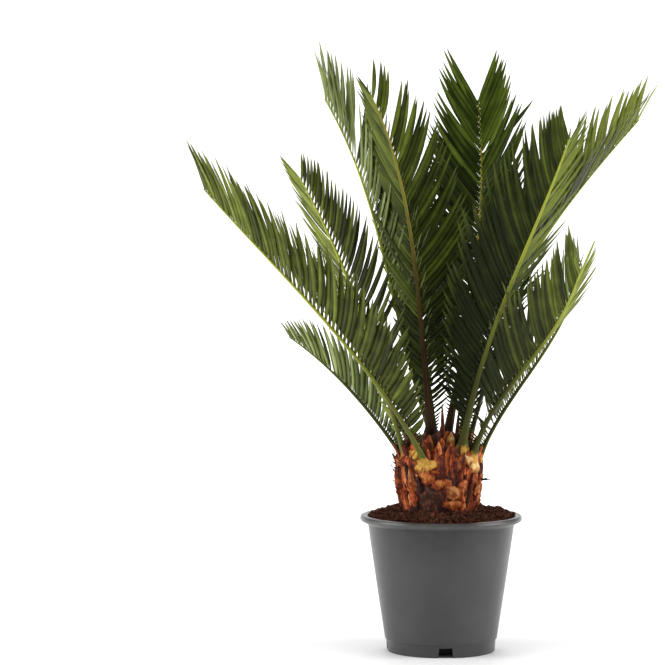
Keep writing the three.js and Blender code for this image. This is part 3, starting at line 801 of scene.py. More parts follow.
# %% Trunk: bud scales
def bud_scale(bearing, height, length, wide, lean, seed):
    """One free pointed scale. It leans in from its foot by lean degrees above the level."""
    t, s = np.meshgrid(UPWARD, ACROSS, indexing="ij")
    rough = np.random.default_rng(seed)
    around = math.radians(bearing)
    out = np.array([math.cos(around), math.sin(around), 0])
    side = np.array([-math.sin(around), math.cos(around), 0])
    tilt = math.radians(lean)
    axis = out * math.cos(tilt) + np.array([0, 0, math.sin(tilt)])
    front = out * math.sin(tilt) - np.array([0, 0, math.cos(tilt)])
    foot = out * max(float(trunk_radius(height)) - 2.5, 0) + np.array([TRUNK_SHIFT, 0, height - 3])
    half = wide / 2 * (1 - t**1.8) ** 0.8 * (1 + 0.08 * np.sin(9 * t + 3 * rough.random())) + 0.12
    bend = 0.07 * rough.normal() * length * t**2
    hump = (1 - s**2) * wide * 0.2 * (1 - 0.6 * t) + 0.3 * np.sin(7 * s + 4 * t + 6 * rough.random())
    layers = []
    for depth in (0, 0.5 + 1.5 * (1 - t)):
        lift = hump + 1.4 * t**2 - depth
        places = foot + axis * (length * t)[..., None] + side * (s * half + bend)[..., None]
        layers.append(places + front * lift[..., None])
    # Painted light and shade: one side of a bud scale is lit and the other shaded, and it is lighter
    # towards its tip and its edges.
    shade = 0.35 + 0.3 * s * np.sign(rough.normal()) + 0.3 * t**2 + 0.25 * np.abs(s) ** 4
    points = np.concatenate([layer.reshape(-1, 3) for layer in layers])
    # Its back gets a third of the shade: painted shade on the back and the sides.
    return points, np.concatenate([shade.ravel(), shade.ravel() * 0.3])


BUD_SCALES = 72
BUD_START, BUD_FOOT, BUD_RISE = 40, 192, 32
LOW_BUDS = 0.55
PLACED_BUDS = [
    ("pale", 290, 217, 19, 11, 78, 203),
    ("dark", 264, 217, 20, 12, 80, 204),
    ("plum", 250, 212, 22, 13, 78, 205),
    ("red", 272, 209, 22, 12, 79, 206),
    ("dark", 306, 219, 17, 12, 80, 207),
    ("dark", 235, 218, 16, 11, 80, 208),
    ("plum", 277, 222, 44, 4.6, 88, 200),
    ("dark", 312, 221, 38, 4.4, 86, 209),
    ("plum", 120, 228, 25, 4.6, 87, 202),
]
buds = {tint: [] for tint in ("plum", "red", "orange", "dark", "pale")}
for n in range(BUD_SCALES):
    share = (n + 0.5) / BUD_SCALES
    weights = [6, 4, 3, 1] if share < LOW_BUDS else [3, 2, 0, 5]
    tint = chance.choices(["plum", "red", "orange", "dark"], weights)[0]
    length = chance.uniform(16, 27) * (1 - 0.4 * share)
    wide = chance.uniform(6, 14)
    bearing = n * GOLDEN_TURN + BUD_START + chance.gauss(0, 8)
    lean = min(86, 74 + 9 * share + chance.gauss(0, 5))
    buds[tint].append((bearing, BUD_FOOT + BUD_RISE * share, length, wide, lean, n))
for tint, *row in PLACED_BUDS:
    buds[tint].append(row)
bud_pieces = {}
for tint, rows in buds.items():
    bud_pieces[tint] = joined("bud_scales_" + tint, [bud_scale(*row) for row in rows])
print("bud scales:", sum(len(rows) for rows in buds.values()))

# %% [markdown]
# ## Hairs and a broken stalk
# Dry bristles are left where the edge of an old foot has rotted to its fibres; most are on the left.
# On the right a broken stalk as thick as a match sticks out. Each is a thin four-sided spike along a
# bent line.

# %% Trunk: bristles and the stalk
BRISTLES = 60
LEFT_BRISTLES = 34
EDGE_BRISTLES = 20
EDGE_FOOT, EDGE_RISE = 186, 30
bristle_rows = []
for n in range(BRISTLES):
    bearing = chance.uniform(165, 205) if n < LEFT_BRISTLES else chance.uniform(0, 360)
    height = chance.uniform(163, 212)
    out = pointing(bearing + chance.uniform(-25, 25), chance.uniform(5, 60))
    start = pointing(bearing, 0) * (float(trunk_radius(height)) + 0.5)
    start = (start.x + TRUNK_SHIFT, start.y, height)
    bristle_rows.append((start, out, chance.uniform(5, 11), 0.7, chance.uniform(0, 0.8)))
for n in range(EDGE_BRISTLES):
    height = EDGE_FOOT + EDGE_RISE * n / EDGE_BRISTLES
    start = (TRUNK_SHIFT + 0.5 - float(trunk_radius(height)), chance.uniform(-12, 6), height)
    course = (-1, chance.uniform(-0.3, 0.3), chance.uniform(0.2, 1.8))
    bristle_rows.append((start, course, chance.uniform(11, 18), 0.75, chance.uniform(0, 0.8)))
bristles = spikes("trunk_bristles", bristle_rows)
stalk_rows = [
    ((38, -12, 181), (1, -0.15, 0.0), 13, 3.8, 0.0),
    ((43, -12.5, 181), (0.8, -0.1, 0.25), 7, 2.4, 0.2),
]
stalk = spikes("broken_stalk", stalk_rows)
for piece in [*scales.values(), *bud_pieces.values(), bristles, stalk]:
    face_out(piece)
print("bristles:", len(bristle_rows))

# %% [markdown]
# ## Woody scales
# The scales are corky bark over fibre: dull, and ribbed lengthwise every two millimetres. Fresh ones
# are orange, cut feet that have lost their skin are amber or tan and a little smoother, older ones
# turn red brown and then nearly black. The scales of the buds are plum with a lighter edge, the feet
# of living fronds are still cream, and the bark bared where feet dropped off is a dusty brown. There
# is one material for each of these, and the scales were dealt out between them above.
# Each material also reads the scale's shade, which paints light and shade onto the scales: lighter where
# light falls, darker in the hollows and gaps.


# %% Materials: bark
def woody(name, hollow, middle, crest, roughness=0.72, squeezed=0.22):
    """Corky bark with streaks up the trunk: dark in the hollows and light on the crests, from blotches
    and from the scale's painted light and shade.
    """
    stuff, inputs, link = new_material(name, Roughness=roughness, IOR=1.45)
    inputs["Specular IOR Level"].default_value = 0.22
    place = add(stuff, "ShaderNodeTexCoord")
    drawn = {"Scale": (1.0, 1.0, squeezed)}
    squeeze = add(stuff, "ShaderNodeMapping", drawn, {"Vector": place.outputs["Object"]})
    fibre = {"Scale": 520.0, "Detail": 5.0, "Roughness": 0.65}
    streak = add(stuff, "ShaderNodeTexNoise", fibre, {"Vector": squeeze.outputs["Vector"]})
    patch = {"Scale": 150.0, "Detail": 4.0, "Roughness": 0.6}
    blotch = add(stuff, "ShaderNodeTexNoise", patch, {"Vector": place.outputs["Object"]})
    own = add(stuff, "ShaderNodeAttribute", {"attribute_name": "shade"})
    # The scale's shade carries its painted light and shade into the tone.
    level = weighted(stuff, [(streak, 1.3), (blotch, 1.6), (own, 0.8)], -1.33)
    stops = [(0.05, hollow), (0.5, middle), (0.95, crest)]
    tone = add(stuff, "ShaderNodeValToRGB", {"stops": stops}, {"Fac": level})
    bump = {"Strength": 0.7, "Distance": 0.0009}
    relief = add(stuff, "ShaderNodeBump", bump, {"Height": streak.outputs["Fac"]})
    link(tone.outputs["Color"], inputs["Base Color"])
    link(relief.outputs["Normal"], inputs["Normal"])
    return stuff


bark = {
    "orange": woody("leaf_foot_orange", "#5a1c0e", "#b2522a", "#e2965a"),
    "amber": woody("cut_leaf_foot_amber", "#521c0c", "#96471c", "#cc8442", 0.6, 0.5),
    "tan": woody("cut_leaf_foot_tan", "#5e2610", "#a25c2c", "#d89c68", 0.6, 0.5),
    "red": woody("leaf_foot_red_brown", "#2a0f0a", "#702a12", "#b05a26"),
    "dark": woody("leaf_foot_dark", "#150c0a", "#341a14", "#5c3222"),
    "plum": woody("bud_scale_plum", "#2a1010", "#582418", "#a85a26"),
    "cream": woody("living_leaf_foot", "#55280c", "#a06a22", "#cca04a", 0.6, 0.5),
    "pale": woody("living_leaf_foot_pale", "#6e3c16", "#ba8442", "#e2c080", 0.6, 0.5),
    "barrel": woody("bark_under_leaf_feet", "#3a2018", "#865240", "#aa745a"),
}
finish_piece(trunk, bark["barrel"], ["trunk"])
for tint, piece in [*scales.items(), *bud_pieces.items()]:
    finish_piece(piece, bark[tint], [])
finish_piece(bristles, bark["dark"], [])
finish_piece(stalk, bark["dark"], [])

# %% [markdown]
# ## How a frond grows
# A frond is a rib with a row of leaflets down each side. The rib starts steep and bends over, so its
# bearing and its rise are given at the foot, the middle and the tip, and the curve between them is
# stepped out. The leaflets stand off the rib widely at its foot and point forward near its tip, and
# the two rows are raised into a V. This is the rule of the solids with their numbers; only the
# leaflets are finer and closer. A row of the table holds the foot (its bearing, its height and how
# broadly it clasps), the length, the bearings, the rises, how far the rib is rolled, how far its two
# rows are raised, and the longest leaflet with the share of it that is left at the tip.

# %% Fronds: the table and the rib's line
FROND_KEYS = ("foot", "length", "bearing", "rise", "roll", "keel", "leaf")
FROND_ROWS = {
    "left_long": ((246, 198, 1.5), 388, (229, 208, 188), (53, 46, 48), -13, 48, (93, 0.62)),
    "left_middle": ((202, 197, 1.0), 329, (206, 212, 218), (73, 67, 54), 13, 19, (79, 0.42)),
    "left_low": ((170, 200, 1.0), 178, (178, 175, 171), (56, 47, 33), 8, 56, (60, 0.33)),
    "left_tall": ((139, 229, 1.0), 368, (172, 182, 168), (70, 76, 58), -10, 49, (101, 0.53)),
    "front_left": ((217, 229, 1.0), 365, (230, 226, 216), (80, 79, 57), 20, 31, (93, 0.3)),
    "centre": ((62, 228, 1.0), 370, (44, 69, 105), (74, 71, 71), -12, 18, (103, 0.62)),
    "right_tall": ((12, 224, 1.0), 391, (15, 15, 1), (80, 57, 48), 18, 46, (96, 0.5)),
    "front_right": ((304, 209, 1.0), 381, (296, 300, 299), (72, 55, 58), -10, 41, (107, 0.36)),
    "right_low": ((323, 200, 1.3), 276, (335, 300, 298), (77, 37, 62), -4, 43, (90, 0.45)),
    "right_slim": ((352, 200, 1.0), 240, (342, 333, 313), (69, 54, 79), 28, 46, (87, 0.4)),
    "back_right": ((40, 208, 1.0), 320, (48, 54, 58), (66, 59, 50), 0, 40, (80, 0.5)),
    "back": ((98, 212, 1.0), 325, (102, 106, 108), (66, 59, 50), 0, 40, (80, 0.5)),
    "back_left": ((136, 204, 1.0), 250, (142, 146, 148), (60, 51, 42), 0, 40, (68, 0.5)),
}
FRONDS = {name: dict(zip(FROND_KEYS, row)) for name, row in FROND_ROWS.items()}
LINE_STEPS = 39
FOOT_SINK = 4.5
NEAREST = 6
BARE = 0.11
RIB_HALF = {"foot": 4.6, "bare": 3.1, "middle": 2.2, "tip": 0.9}


def through(values, share):
    """A quantity that runs through its values at the foot, the middle and the tip."""
    foot, middle, tip = values
    ends = foot * (1 - share) * (1 - 2 * share) + tip * share * (2 * share - 1)
    return ends + middle * 4 * share * (1 - share)


def rib_line(frond):
    """Places along the rib with the direction along it and that of its upper face."""
    bearing, height, _ = frond["foot"]
    place = pointing(bearing, 0) * max(float(trunk_radius(height)) - FOOT_SINK, NEAREST)
    place.z = height
    line = []
    for i in range(LINE_STEPS + 1):
        share = i / LINE_STEPS
        b, r = through(frond["bearing"], share), through(frond["rise"], share)
        along = pointing(b, r)
        upper = Matrix.Rotation(math.radians(frond["roll"]), 3, along) @ pointing(b + 180, 90 - r)
        line.append((place.copy(), along, upper))
        place = place + along * frond["length"] / LINE_STEPS
    return line


def on_line(line, share):
    """Place, direction and upper face at any share of the rib."""
    step = min(int(share * LINE_STEPS), LINE_STEPS - 1)
    part = share * LINE_STEPS - step
    (p, a, u), (q, b, v) = line[step], line[step + 1]
    return p.lerp(q, part), a.lerp(b, part).normalized(), u.lerp(v, part).normalized()


def rib_half(share):
    """Half width of the rib, in millimetres."""
    places = [0, BARE, BARE + (1 - BARE) / 2, 1]
    return float(np.interp(share, places, list(RIB_HALF.values())))


lines = {name: rib_line(frond) for name, frond in FRONDS.items()}
print("highest rib tip", round(max(line[-1][0].z for line in lines.values())), "mm")

# %% [markdown]
# ## Ribs
# A rib is rounded below and flattened above, and it tapers from nine millimetres to two. Near the
# trunk it swells into the foot that clasps the trunk, and on the stoutest fronds the lower third is
# thicker still. It is a ring of ten points, carried along the line and joined up, with a number at
# each point that says how far along it is, in decimetres: the material reads that to change colour
# from the foot to the tip.

# %% Fronds: ribs
RIB_RINGS = 60
RIB_POINTS = 10
RIB_CREASE = 60
FOOT_FLARE = 11
STOUT_TO = 0.35
BROWN_RIBS = ("front_left", "centre")
LIGHT_RIBS = ("left_long", "left_middle", "left_tall")
STOUT = {"front_left": 0.35, "centre": 0.45, "front_right": 0.3, "right_low": 0.2, "left_long": 0.1}


def rib_mesh(name):
    """A frond's rib as one closed mesh."""
    frond, line = FRONDS[name], lines[name]
    wide = frond["foot"][2]
    points, faces, reach = [], [], []
    for r in range(RIB_RINGS):
        share = (r / (RIB_RINGS - 1)) ** 1.25
        place, along, upper = on_line(line, share)
        side = along.cross(upper)
        flare = 0 if name in BROWN_RIBS else math.exp(-((share * frond["length"] / FOOT_FLARE) ** 2))
        thick = STOUT.get(name, 0) * max(0, 1 - share / STOUT_TO)
        half = rib_half(share) * (0.94 + thick)
        across = half * (1 + 0.7 * wide * flare)
        up = half * (0.86 + 0.1 * flare)
        for k in range(RIB_POINTS):
            turn = math.tau * k / RIB_POINTS
            height = math.sin(turn) * (0.72 if math.sin(turn) > 0 else 1.0)
            points.append(list(place + side * (math.cos(turn) * across) + upper * (height * up)))
            reach.append(share * frond["length"] / 100)
    for r in range(RIB_RINGS - 1):
        for k in range(RIB_POINTS):
            a, b = r * RIB_POINTS + k, r * RIB_POINTS + (k + 1) % RIB_POINTS
            faces.append((a, b, b + RIB_POINTS, a + RIB_POINTS))
    last = (RIB_RINGS - 1) * RIB_POINTS
    faces.append(tuple(range(RIB_POINTS - 1, -1, -1)))
    faces.append(tuple(last + k for k in range(RIB_POINTS)))
    piece = from_arrays("rib_" + name, points, faces, {"reach": reach}, RIB_CREASE)
    face_out(piece)
    return piece


ribs = {name: rib_mesh(name) for name in FRONDS}
print("ribs:", len(ribs))

# %% [markdown]
# ## Leaflets
# A leaflet is a stiff narrow blade whose edges roll under. It is pinched where it joins the rib, so
# that a row of small gaps shows there. It is widest a third of the way out, and it ends in a sharp
# point. Its section has six points at eight places along it, which makes a few dozen faces, and one
# frond's leaflets are one mesh. Each point knows how far out it is, how near the blade's edge, and
# its leaflet's shade, which holds painted light and shade. No two leaflets stand quite alike: their
# tips gather in groups of two to four with a gap between, and one in thirty strays out of line.

# %% Leaflets: one blade
SPACING = 6.2
LEAF_WIDTH = 5.8
TIP_SLIM = 0.22
SWEEP_TIP, SWEEP_FOOT, SWEEP_FALL = 28, 64, 1.75
SHORTEST_FOOT, FULL_FROM, FALL_FROM = 0.24, 0.36, 0.6
NARROW_BELOW, NARROWEST = 55, 0.62
STATIONS = [(0.0, 0.42), (0.08, 0.6), (0.18, 0.88), (0.34, 1.0)]
STATIONS += [(0.55, 0.92), (0.74, 0.68), (0.9, 0.32), (1.0, 0.02)]
SECTION = [(-1.0, -0.22), (-0.5, 0.07), (0.0, 0.18), (0.5, 0.07), (1.0, -0.22), (0.0, -0.12)]
AT_RIB = 0.1
SWEEP_LUCK = 1.3
GROUPS = (2, 3, 3, 4)
GATHER = 0.5
STRAYS, STRAY_LUCK = 0.035, 9
KEEL_LUCK = 2.5
LENGTH_LUCK = (0.93, 1.03)
DROOP, DROOP_LUCK = 0.015, 0.012
TILT, TILT_LUCK = 0.32, 0.14
TONE, TONE_LUCK = 0.5, 0.16
LEAF_CURVE = 7
LEAF_CREASE = 50
THORNS = 7
THORN_HALF = 0.9
points_each = len(STATIONS) * len(SECTION)
print("points on a leaflet:", points_each)

# %% [markdown]
# ## What differs from row to row
# No two rows of leaflets are alike: the two sides of a frond catch the light differently, and the
# fronds differ in age. That light is painted into the leaflets' tone. So a table says how much
# lighter a frond is painted towards its tip, a painted shade of the crown near the trunk, and then
# gives its two rows, each with how much lighter it is painted (a painted light where the row faces a
# side light, a painted shade where it faces the middle), its width, the length kept at its tip, the
# length below its middle, and how far its middle spreads, in degrees. The other tables hold what is
# odd on a few fronds: leaflets that are thin near the trunk (up to where, and on which sides),
# leaflets that join the rib broadly (from where, and how broad), a ragged row, a single leaflet that
# sticks out (its side, its place and its turn), and gaps where leaflets are lost (side, from where,
# to where).

# %% Leaflets: rows
HANDS = (1, -1)
PLAIN_ROW = (0.0, 1.0, 1.0, 1.0, 0)
ROWS_OF = {
    "left_long": (0.5, (-0.18, 1.04, 1.0, 1.0, 0), (-0.13, 1.1, 1.0, 1.0, 0)),
    "left_middle": (0.2, (0.18, 0.68, 1.0, 1.0, 3), (-0.25, 0.98, 1.0, 1.0, 0)),
    "left_low": (0.4, (-0.05, 0.88, 1.0, 1.0, 0), (-0.1, 0.88, 1.0, 1.0, 0)),
    "left_tall": (0.3, (-0.08, 1.08, 1.2, 1.0, 0), (-0.08, 1.08, 1.2, 1.0, 0)),
    "front_left": (0.45, (0.05, 1.0, 1.0, 1.0, 0), (-0.1, 1.05, 1.5, 1.0, 0)),
    "centre": (0.9, (-0.25, 1.15, 1.0, 1.0, 0), (-0.2, 1.15, 1.15, 1.0, 4)),
    "right_tall": (1.7, (-0.7, 1.12, 1.1, 1.0, 0), (-0.2, 1.12, 1.1, 1.0, 0)),
    "front_right": (0.9, (-0.5, 1.0, 1.0, 1.0, 0), (0.05, 0.66, 1.0, 0.82, 24)),
    "right_low": (0.7, (-0.42, 1.0, 1.3, 1.0, 0), (0.0, 0.8, 1.0, 0.8, 4)),
    "right_slim": (0.3, (-0.1, 0.8, 1.0, 1.0, 0), (-0.1, 0.8, 1.0, 1.0, 0)),
    "back_right": (0.5, PLAIN_ROW, PLAIN_ROW),
    "back": (0.5, PLAIN_ROW, PLAIN_ROW),
    "back_left": (0.5, PLAIN_ROW, PLAIN_ROW),
}
SPARSE = {name: (0.3, HANDS) for name in ("centre", "right_tall", "back", "back_right", "back_left")}
SPARSE["front_left"] = (0.45, (-1,))
SNUG = {"right_tall": (0.42, 0.85), "centre": (0.3, 0.62)}
RAGGED_ROW = ("front_right", -1)
RAGGED = 8
LOOSE = {"right_low": (-1, 0.44, 40), "centre": (1, 0.81, 22), "left_tall": (1, 0.6, 16)}
LOST = {
    "front_left": [(-1, 0.84, 0.9), (-1, 0.965, 0.985)],
    "left_tall": [(1, 0.79, 0.83), (-1, 0.745, 0.775)],
    "left_middle": [(-1, 0.3, 0.33), (-1, 0.42, 0.44)],
    "left_low": [(1, 0.5, 0.53), (-1, 0.62, 0.66)],
    "right_low": [(1, 0.86, 0.89), (1, -0.01, 0.145)],
    "right_slim": [(1, -0.01, 0.09)],
}


def gathered(count, luck):
    """Turn of each leaflet of a row, in degrees, that brings the tips of each group together."""
    turns = []
    while len(turns) < count:
        size = luck.choice(GROUPS)
        turns += [GATHER * (n - (size - 1) / 2) for n in range(size)]
    return turns


def seats(name, pairs, luck):
    """Share of the rib, share of its leafy part, side, size and turn, for each leaflet and thorn."""
    found = []
    for hand in HANDS:
        turns = gathered(pairs + 1, luck)
        for pair in range(pairs + 1):
            leafy = max(0.0, pair - (0.5 if hand < 0 else 0)) / pairs
            if any(side == hand and low < leafy < high for side, low, high in LOST.get(name, [])):
                continue
            found.append((BARE + (1 - BARE) * leafy * 0.995, leafy, hand, 1.0, turns[pair]))
        for thorn in range(THORNS):
            share = 0.035 + (BARE - 0.04) * (thorn + 0.25 * (hand > 0)) / THORNS
            found.append((share, 0.0, hand, 0.22 + 0.5 * (thorn / THORNS) ** 1.5, 0))
    return found


print("rows of leaflets:", len(ROWS_OF) * len(HANDS))

# %% [markdown]
# ## How a leaflet stands, and how large it is
# The leaflets near the trunk are short and stand off widely, and the lowest have shrunk to thorns.
# From a third of the way up they are full grown, and near the tip they shorten again and point
# forward. Each measure gets its own small share of chance, so that no leaflet repeats another.


# %% Leaflets: on the frond
def leaflet_sweep(name, leafy, hand, turn, spread, luck):
    """Angle between a leaflet and its rib, in degrees."""
    sweep = SWEEP_TIP + (SWEEP_FOOT - SWEEP_TIP) * (1 - leafy) ** SWEEP_FALL
    stray = luck.random() <= STRAYS
    sweep += turn + luck.gauss(0, STRAY_LUCK if stray else SWEEP_LUCK)
    sweep += spread * 4 * leafy * (1 - leafy)
    if (name, hand) == RAGGED_ROW:
        sweep += luck.gauss(0, RAGGED * (1 - leafy))
    return sweep


def leaflet_size(name, leafy, hand, row, luck):
    """Length and half width of a leaflet, in millimetres."""
    _, slim, longer, low, _ = row
    longest, tip_share = FRONDS[name]["leaf"]
    growing = SHORTEST_FOOT + (1 - SHORTEST_FOOT) * min(1, leafy / FULL_FROM) ** 0.8
    ending = max(0, (leafy - FALL_FROM) / (1 - FALL_FROM)) ** 1.5
    length = longest * growing * (1 - (1 - tip_share * longer) * ending) * luck.uniform(*LENGTH_LUCK)
    length = length * (low + (1 - low) * max(0, 2 * leafy - 1))
    half = LEAF_WIDTH / 2 * slim * (NARROWEST + (1 - NARROWEST) * min(1, length / NARROW_BELOW))
    half = half * (1 - TIP_SLIM * max(0, leafy - 0.5) / 0.5)
    sparse_to, sparse_hands = SPARSE.get(name, (1, ()))
    if hand in sparse_hands:
        half = half * (0.5 + 0.5 * min(1, leafy / sparse_to))
    return length, half


def blade_faces(first, hand):
    """Faces of one leaflet whose points start at number first."""
    rings, ring = len(STATIONS), len(SECTION)
    faces = []
    for r in range(rings - 1):
        for k in range(ring):
            a, b = first + r * ring + k, first + r * ring + (k + 1) % ring
            faces.append((a, b, b + ring, a + ring) if hand > 0 else (a, a + ring, b + ring, b))
    near = [first + k for k in range(ring)]
    far = [first + (rings - 1) * ring + k for k in range(ring)]
    faces.append(tuple(near[::-1]) if hand > 0 else tuple(near))
    faces.append(tuple(far) if hand > 0 else tuple(far[::-1]))
    return faces


def leaflets(name, seed):
    """All leaflets of a frond, and the short thorns below them, as one mesh."""
    frond, line = FRONDS[name], lines[name]
    luck = random.Random(seed)
    slope, *both = ROWS_OF[name]
    row_of = dict(zip(HANDS, both))
    snug_from, snug_width = SNUG.get(name, (1, 0))
    loose_hand, loose_place, loose_turn = LOOSE.get(name, (0, 0, 0))
    pairs = round(frond["length"] * (1 - BARE) / SPACING)
    points, faces = [], []
    values = {"shade": [], "reach": [], "edge": []}
    for share, leafy, hand, thorny, turn in seats(name, pairs, luck):
        lit, *_, spread = row_of[hand]
        root, along, upper = on_line(line, share)
        side = along.cross(upper) * hand
        keel = math.radians(frond["keel"] + luck.gauss(0, KEEL_LUCK))
        lean = side * math.cos(keel) + upper * math.sin(keel)
        lift = along.cross(lean).normalized() * hand
        sweep = leaflet_sweep(name, leafy, hand, turn, spread, luck)
        if hand == loose_hand and abs(leafy - loose_place) < 0.5 / pairs:
            sweep += loose_turn
        length, half = leaflet_size(name, leafy, hand, row_of[hand], luck)
        if thorny < 1:
            length, half = length * thorny, THORN_HALF
        droop = luck.gauss(0.0, DROOP_LUCK) - DROOP
        tilt = TILT + luck.gauss(0, TILT_LUCK)
        # Painted light and shade: lit makes a whole row lighter where it faces a light and darker where
        # it faces the middle, and slope paints the leaflets darker towards the trunk.
        tone = luck.gauss(TONE, TONE_LUCK) + lit + slope * (share - 0.5)
        tone = min(1.0, max(0.0, tone))
        first = len(points)
        at, before = root + lean * rib_half(share) * 0.35, 0.0
        for v, width in STATIONS:
            if v < AT_RIB and leafy > snug_from:
                width = max(width, snug_width)
            heading = math.radians(sweep + LEAF_CURVE * (1 - 2 * v))
            course = (along * math.cos(heading) + lean * math.sin(heading)).normalized()
            at = at + course * length * (v - before)
            before = v
            across = (along * -math.sin(heading) + lean * math.cos(heading)).normalized()
            level = at + lift * (droop * length * v * v)
            for s, h in SECTION:
                rise = (h * 0.9 - s * tilt) * half * width
                points.append(list(level + across * (-s * half * width) + lift * rise))
                values["shade"].append(tone)
                values["reach"].append(v)
                values["edge"].append(abs(s))
        faces += blade_faces(first, hand)
    return from_arrays("leaflets_" + name, points, faces, values, LEAF_CREASE)


FIRST_SEED = 20
blades = {name: leaflets(name, FIRST_SEED + n) for n, name in enumerate(FRONDS)}
print("leaflets:", sum(len(blade.data.vertices) for blade in blades.values()) // points_each)

# %% [markdown]
# ## Leaf, waxed
# A sago palm's leaflet has a thick waxy skin: deep green, with a dull gloss. The rolled edge of the
# blade gets a painted shade, darker than its middle, and the tip pales. The age of a frond shows in
# its colour, so each frond gets one of four greens; the deepest, on the centre and back fronds, is
# partly a painted shade of the crown as well. Within a frond the green changes from leaflet to leaflet
# with each one's shade, which holds painted light and shade, and clouds of two centimetres run over
# them. The veins are finer than shows, so they are drawn at two millimetres.


# %% Materials: leaflets
def leaf_green(name, gloss, dark, middle, pale, tip):
    """Waxy leaf: a painted shade along the rolled edges, paler at the tip, and a tone per leaflet that
    holds its painted light and shade.
    """
    stuff, inputs, link = new_material(name, Roughness=0.48, IOR=1.45)
    inputs["Specular IOR Level"].default_value = gloss
    place = add(stuff, "ShaderNodeTexCoord")
    own = add(stuff, "ShaderNodeAttribute", {"attribute_name": "shade"})
    reach = add(stuff, "ShaderNodeAttribute", {"attribute_name": "reach"})
    edge = add(stuff, "ShaderNodeAttribute", {"attribute_name": "edge"})
    broad = {"Scale": 60.0, "Detail": 3.0}
    cloud = add(stuff, "ShaderNodeTexNoise", broad, {"Vector": place.outputs["Object"]})
    # Painted light and shade: shade holds each row's painted light and shade, and edge paints the rolled
    # margins darker.
    level = weighted(stuff, [(own, 0.75), (cloud, 0.45), (edge, -0.24)], -0.02)
    stops = [(0.15, dark), (0.5, middle), (0.85, pale)]
    tone = add(stuff, "ShaderNodeValToRGB", {"stops": stops}, {"Fac": level})
    ending = {"From Min": 0.7, "From Max": 1.05, "To Max": 0.7}
    ending = add(stuff, "ShaderNodeMapRange", ending, {"Value": reach.outputs["Fac"]})
    mixed = {0: ending.outputs["Result"], 6: tone.outputs["Color"]}
    mixed = add(stuff, "ShaderNodeMix", {"data_type": "RGBA", 7: linear(tip)}, mixed)
    fine = {"Scale": 500.0, "Detail": 2.0}
    vein = add(stuff, "ShaderNodeTexNoise", fine, {"Vector": place.outputs["Object"]})
    bump = {"Strength": 0.15, "Distance": 0.0003}
    relief = add(stuff, "ShaderNodeBump", bump, {"Height": vein.outputs["Fac"]})
    link(mixed.outputs[2], inputs["Base Color"])
    link(relief.outputs["Normal"], inputs["Normal"])
    return stuff


greens = {
    "deep": leaf_green("leaf_green_deep", 0.1, "#141a04", "#2a3608", "#5a6a20", "#566424"),
    "dark": leaf_green("leaf_green_dark", 0.12, "#1a2108", "#3c4612", "#6c7828", "#646e2e"),
    "olive": leaf_green("leaf_green_olive", 0.2, "#242a08", "#525c1a", "#8c963c", "#747e38"),
    "grey": leaf_green("leaf_green_grey", 0.25, "#303c18", "#667236", "#a0aa70", "#8e9a6c"),
}
print("greens:", len(greens))
# The deep green on the centre and back fronds is partly a painted shade of the crown.
GREEN_OF = {
    "left_long": "olive",
    "left_middle": "olive",
    "left_low": "grey",
    "left_tall": "grey",
    "front_left": "dark",
    "centre": "deep",
    "right_tall": "olive",
    "front_right": "dark",
    "right_low": "olive",
    "right_slim": "grey",
    "back_right": "deep",
    "back": "deep",
    "back_left": "deep",
}

# %% [markdown]
# ## Rib, from cream to yellow green
# The rib is smooth and waxy. Its foot is cream, the bare stalk above is darker, and among the leaflets
# it turns yellow green. Three fronds on the left have a lighter stalk and the others a dark one, but
# on the two in the middle the lower half is brown, foot and all.


# %% Materials: ribs
FOOT_TO = 0.016


def rib_skin(name, foot, stalk, lower, upper):
    """Smooth rib: a foot in its own colour, then stalk, lower half and upper half."""
    stuff, inputs, link = new_material(name, Roughness=0.48, IOR=1.45)
    inputs["Specular IOR Level"].default_value = 0.2
    place = add(stuff, "ShaderNodeTexCoord")
    reach = add(stuff, "ShaderNodeAttribute", {"attribute_name": "reach"})
    fine = {"Scale": 110.0, "Detail": 4.0}
    streak = add(stuff, "ShaderNodeTexNoise", fine, {"Vector": place.outputs["Object"]})
    part = weighted(stuff, [(reach, 0.25), (streak, 0.07)], -0.035)
    stops = [(FOOT_TO, foot), (FOOT_TO * 2, stalk), (0.22, stalk), (0.4, lower), (0.62, upper)]
    tone = add(stuff, "ShaderNodeValToRGB", {"stops": stops}, {"Fac": part})
    bump = {"Strength": 0.2, "Distance": 0.0004}
    relief = add(stuff, "ShaderNodeBump", bump, {"Height": streak.outputs["Fac"]})
    link(tone.outputs["Color"], inputs["Base Color"])
    link(relief.outputs["Normal"], inputs["Normal"])
    return stuff


rib_green = rib_skin("rib_yellow_green", "#b88c38", "#585a1c", "#7e8426", "#a6ac3c")
rib_dark = rib_skin("rib_dark_stalk", "#b88c38", "#3e400f", "#6a7020", "#9ca238")
rib_brown = rib_skin("rib_brown_below", "#2a180c", "#3e2810", "#5c4a1a", "#8a8030")
skins = {name: rib_dark for name in FRONDS}
skins.update({name: rib_green for name in LIGHT_RIBS})
skins.update({name: rib_brown for name in BROWN_RIBS})
for name in FRONDS:
    finish_piece(ribs[name], skins[name], ["frond_" + name])
    finish_piece(blades[name], greens[GREEN_OF[name]], ["frond_" + name])

# %% [markdown]
# ## Studio
# The plant stands on matt pale paper that sweeps up behind it from a roll. Two large soft lights
# stand at its sides, so that the rows of leaflets that face them shine and those that face the
# middle stay dark. A weaker one hangs above in front, one behind, and two more light the paper.

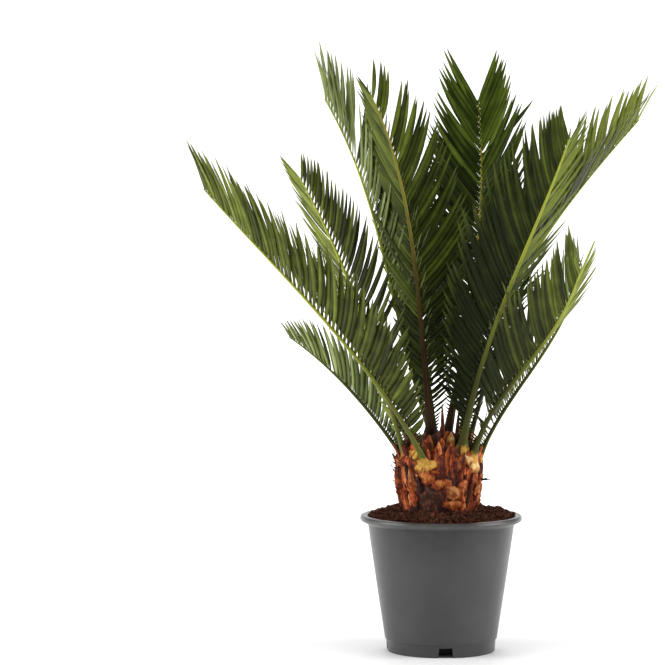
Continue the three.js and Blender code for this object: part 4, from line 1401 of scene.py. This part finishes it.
# %% Studio: floor
FLOOR_SIZE = 11
PAPER_HEIGHT = 6
PAPER_BEND = 3.2
start_clean()
bpy.ops.mesh.primitive_plane_add(size=FLOOR_SIZE, location=(0, 0, 0))
floor = bpy.context.object
floor.name = "floor"
bpy.ops.object.mode_set(mode="EDIT")
bpy.ops.mesh.select_all(action="DESELECT")
bpy.ops.object.mode_set(mode="OBJECT")
for edge in floor.data.edges:
    ends = [floor.data.vertices[i].co for i in edge.vertices]
    edge.select = all(end.y > FLOOR_SIZE / 2 - 0.1 for end in ends)
bpy.ops.object.mode_set(mode="EDIT")
bpy.ops.mesh.extrude_region_move(TRANSFORM_OT_translate={"value": (0, 0, PAPER_HEIGHT)})
bpy.ops.object.mode_set(mode="OBJECT")
bend = floor.modifiers.new("sweep", "BEVEL")
bend.width = PAPER_BEND
bend.segments = 24
bend.limit_method = "ANGLE"
bpy.ops.object.modifier_apply(modifier=bend.name)
bpy.ops.object.shade_smooth()
paper, inputs, link = new_material("backdrop_paper", Roughness=0.9)
place = add(paper, "ShaderNodeTexCoord")
tooth = add(paper, "ShaderNodeTexNoise", {"Scale": 300.0}, {"Vector": place.outputs["Object"]})
stops = [(0.0, "#f4f4f4"), (1.0, "#fbfbfb")]
tone = add(paper, "ShaderNodeValToRGB", {"stops": stops}, {"Fac": tooth.outputs["Fac"]})
link(tone.outputs["Color"], inputs["Base Color"])
floor.data.materials.append(paper)
print("floor", [round(v, 1) for v in floor.dimensions], "metres")


# %% Studio: lights
def soft_light(name, place, aim, size, power):
    """A square soft light that faces the point it is aimed at."""
    start_clean()
    bpy.ops.object.light_add(type="AREA", location=place)
    light = bpy.context.object
    light.name = name
    light.data.size = size
    light.data.energy = power
    light.rotation_euler = (Vector(aim) - Vector(place)).to_track_quat("-Z", "Y").to_euler()
    print(name, power, "watts")


PLANT = (0, 0, 0.32)
AMBIENT = 0.3
soft_light("light_left", (-2.3, -0.5, 0.95), PLANT, 1.6, 48)
soft_light("light_right", (2.3, -0.5, 0.95), PLANT, 1.6, 48)
soft_light("light_top", (0.0, -0.5, 2.6), PLANT, 1.4, 26)
soft_light("light_back", (0.0, 1.6, 2.4), (0, 0.2, 0), 1.6, 30)
soft_light("light_paper_left", (-2.0, 1.6, 1.6), (-0.5, 4.8, 0.8), 1.2, 90)
soft_light("light_paper_right", (2.0, 1.6, 1.6), (0.5, 4.8, 0.8), 1.2, 90)

world = bpy.data.worlds.new("studio")
bpy.context.scene.world = world
world.use_nodes = True
world.node_tree.nodes["Background"].inputs["Color"].default_value = (1, 1, 1, 1)
world.node_tree.nodes["Background"].inputs["Strength"].default_value = AMBIENT
bpy.context.scene.view_settings.view_transform = "Standard"
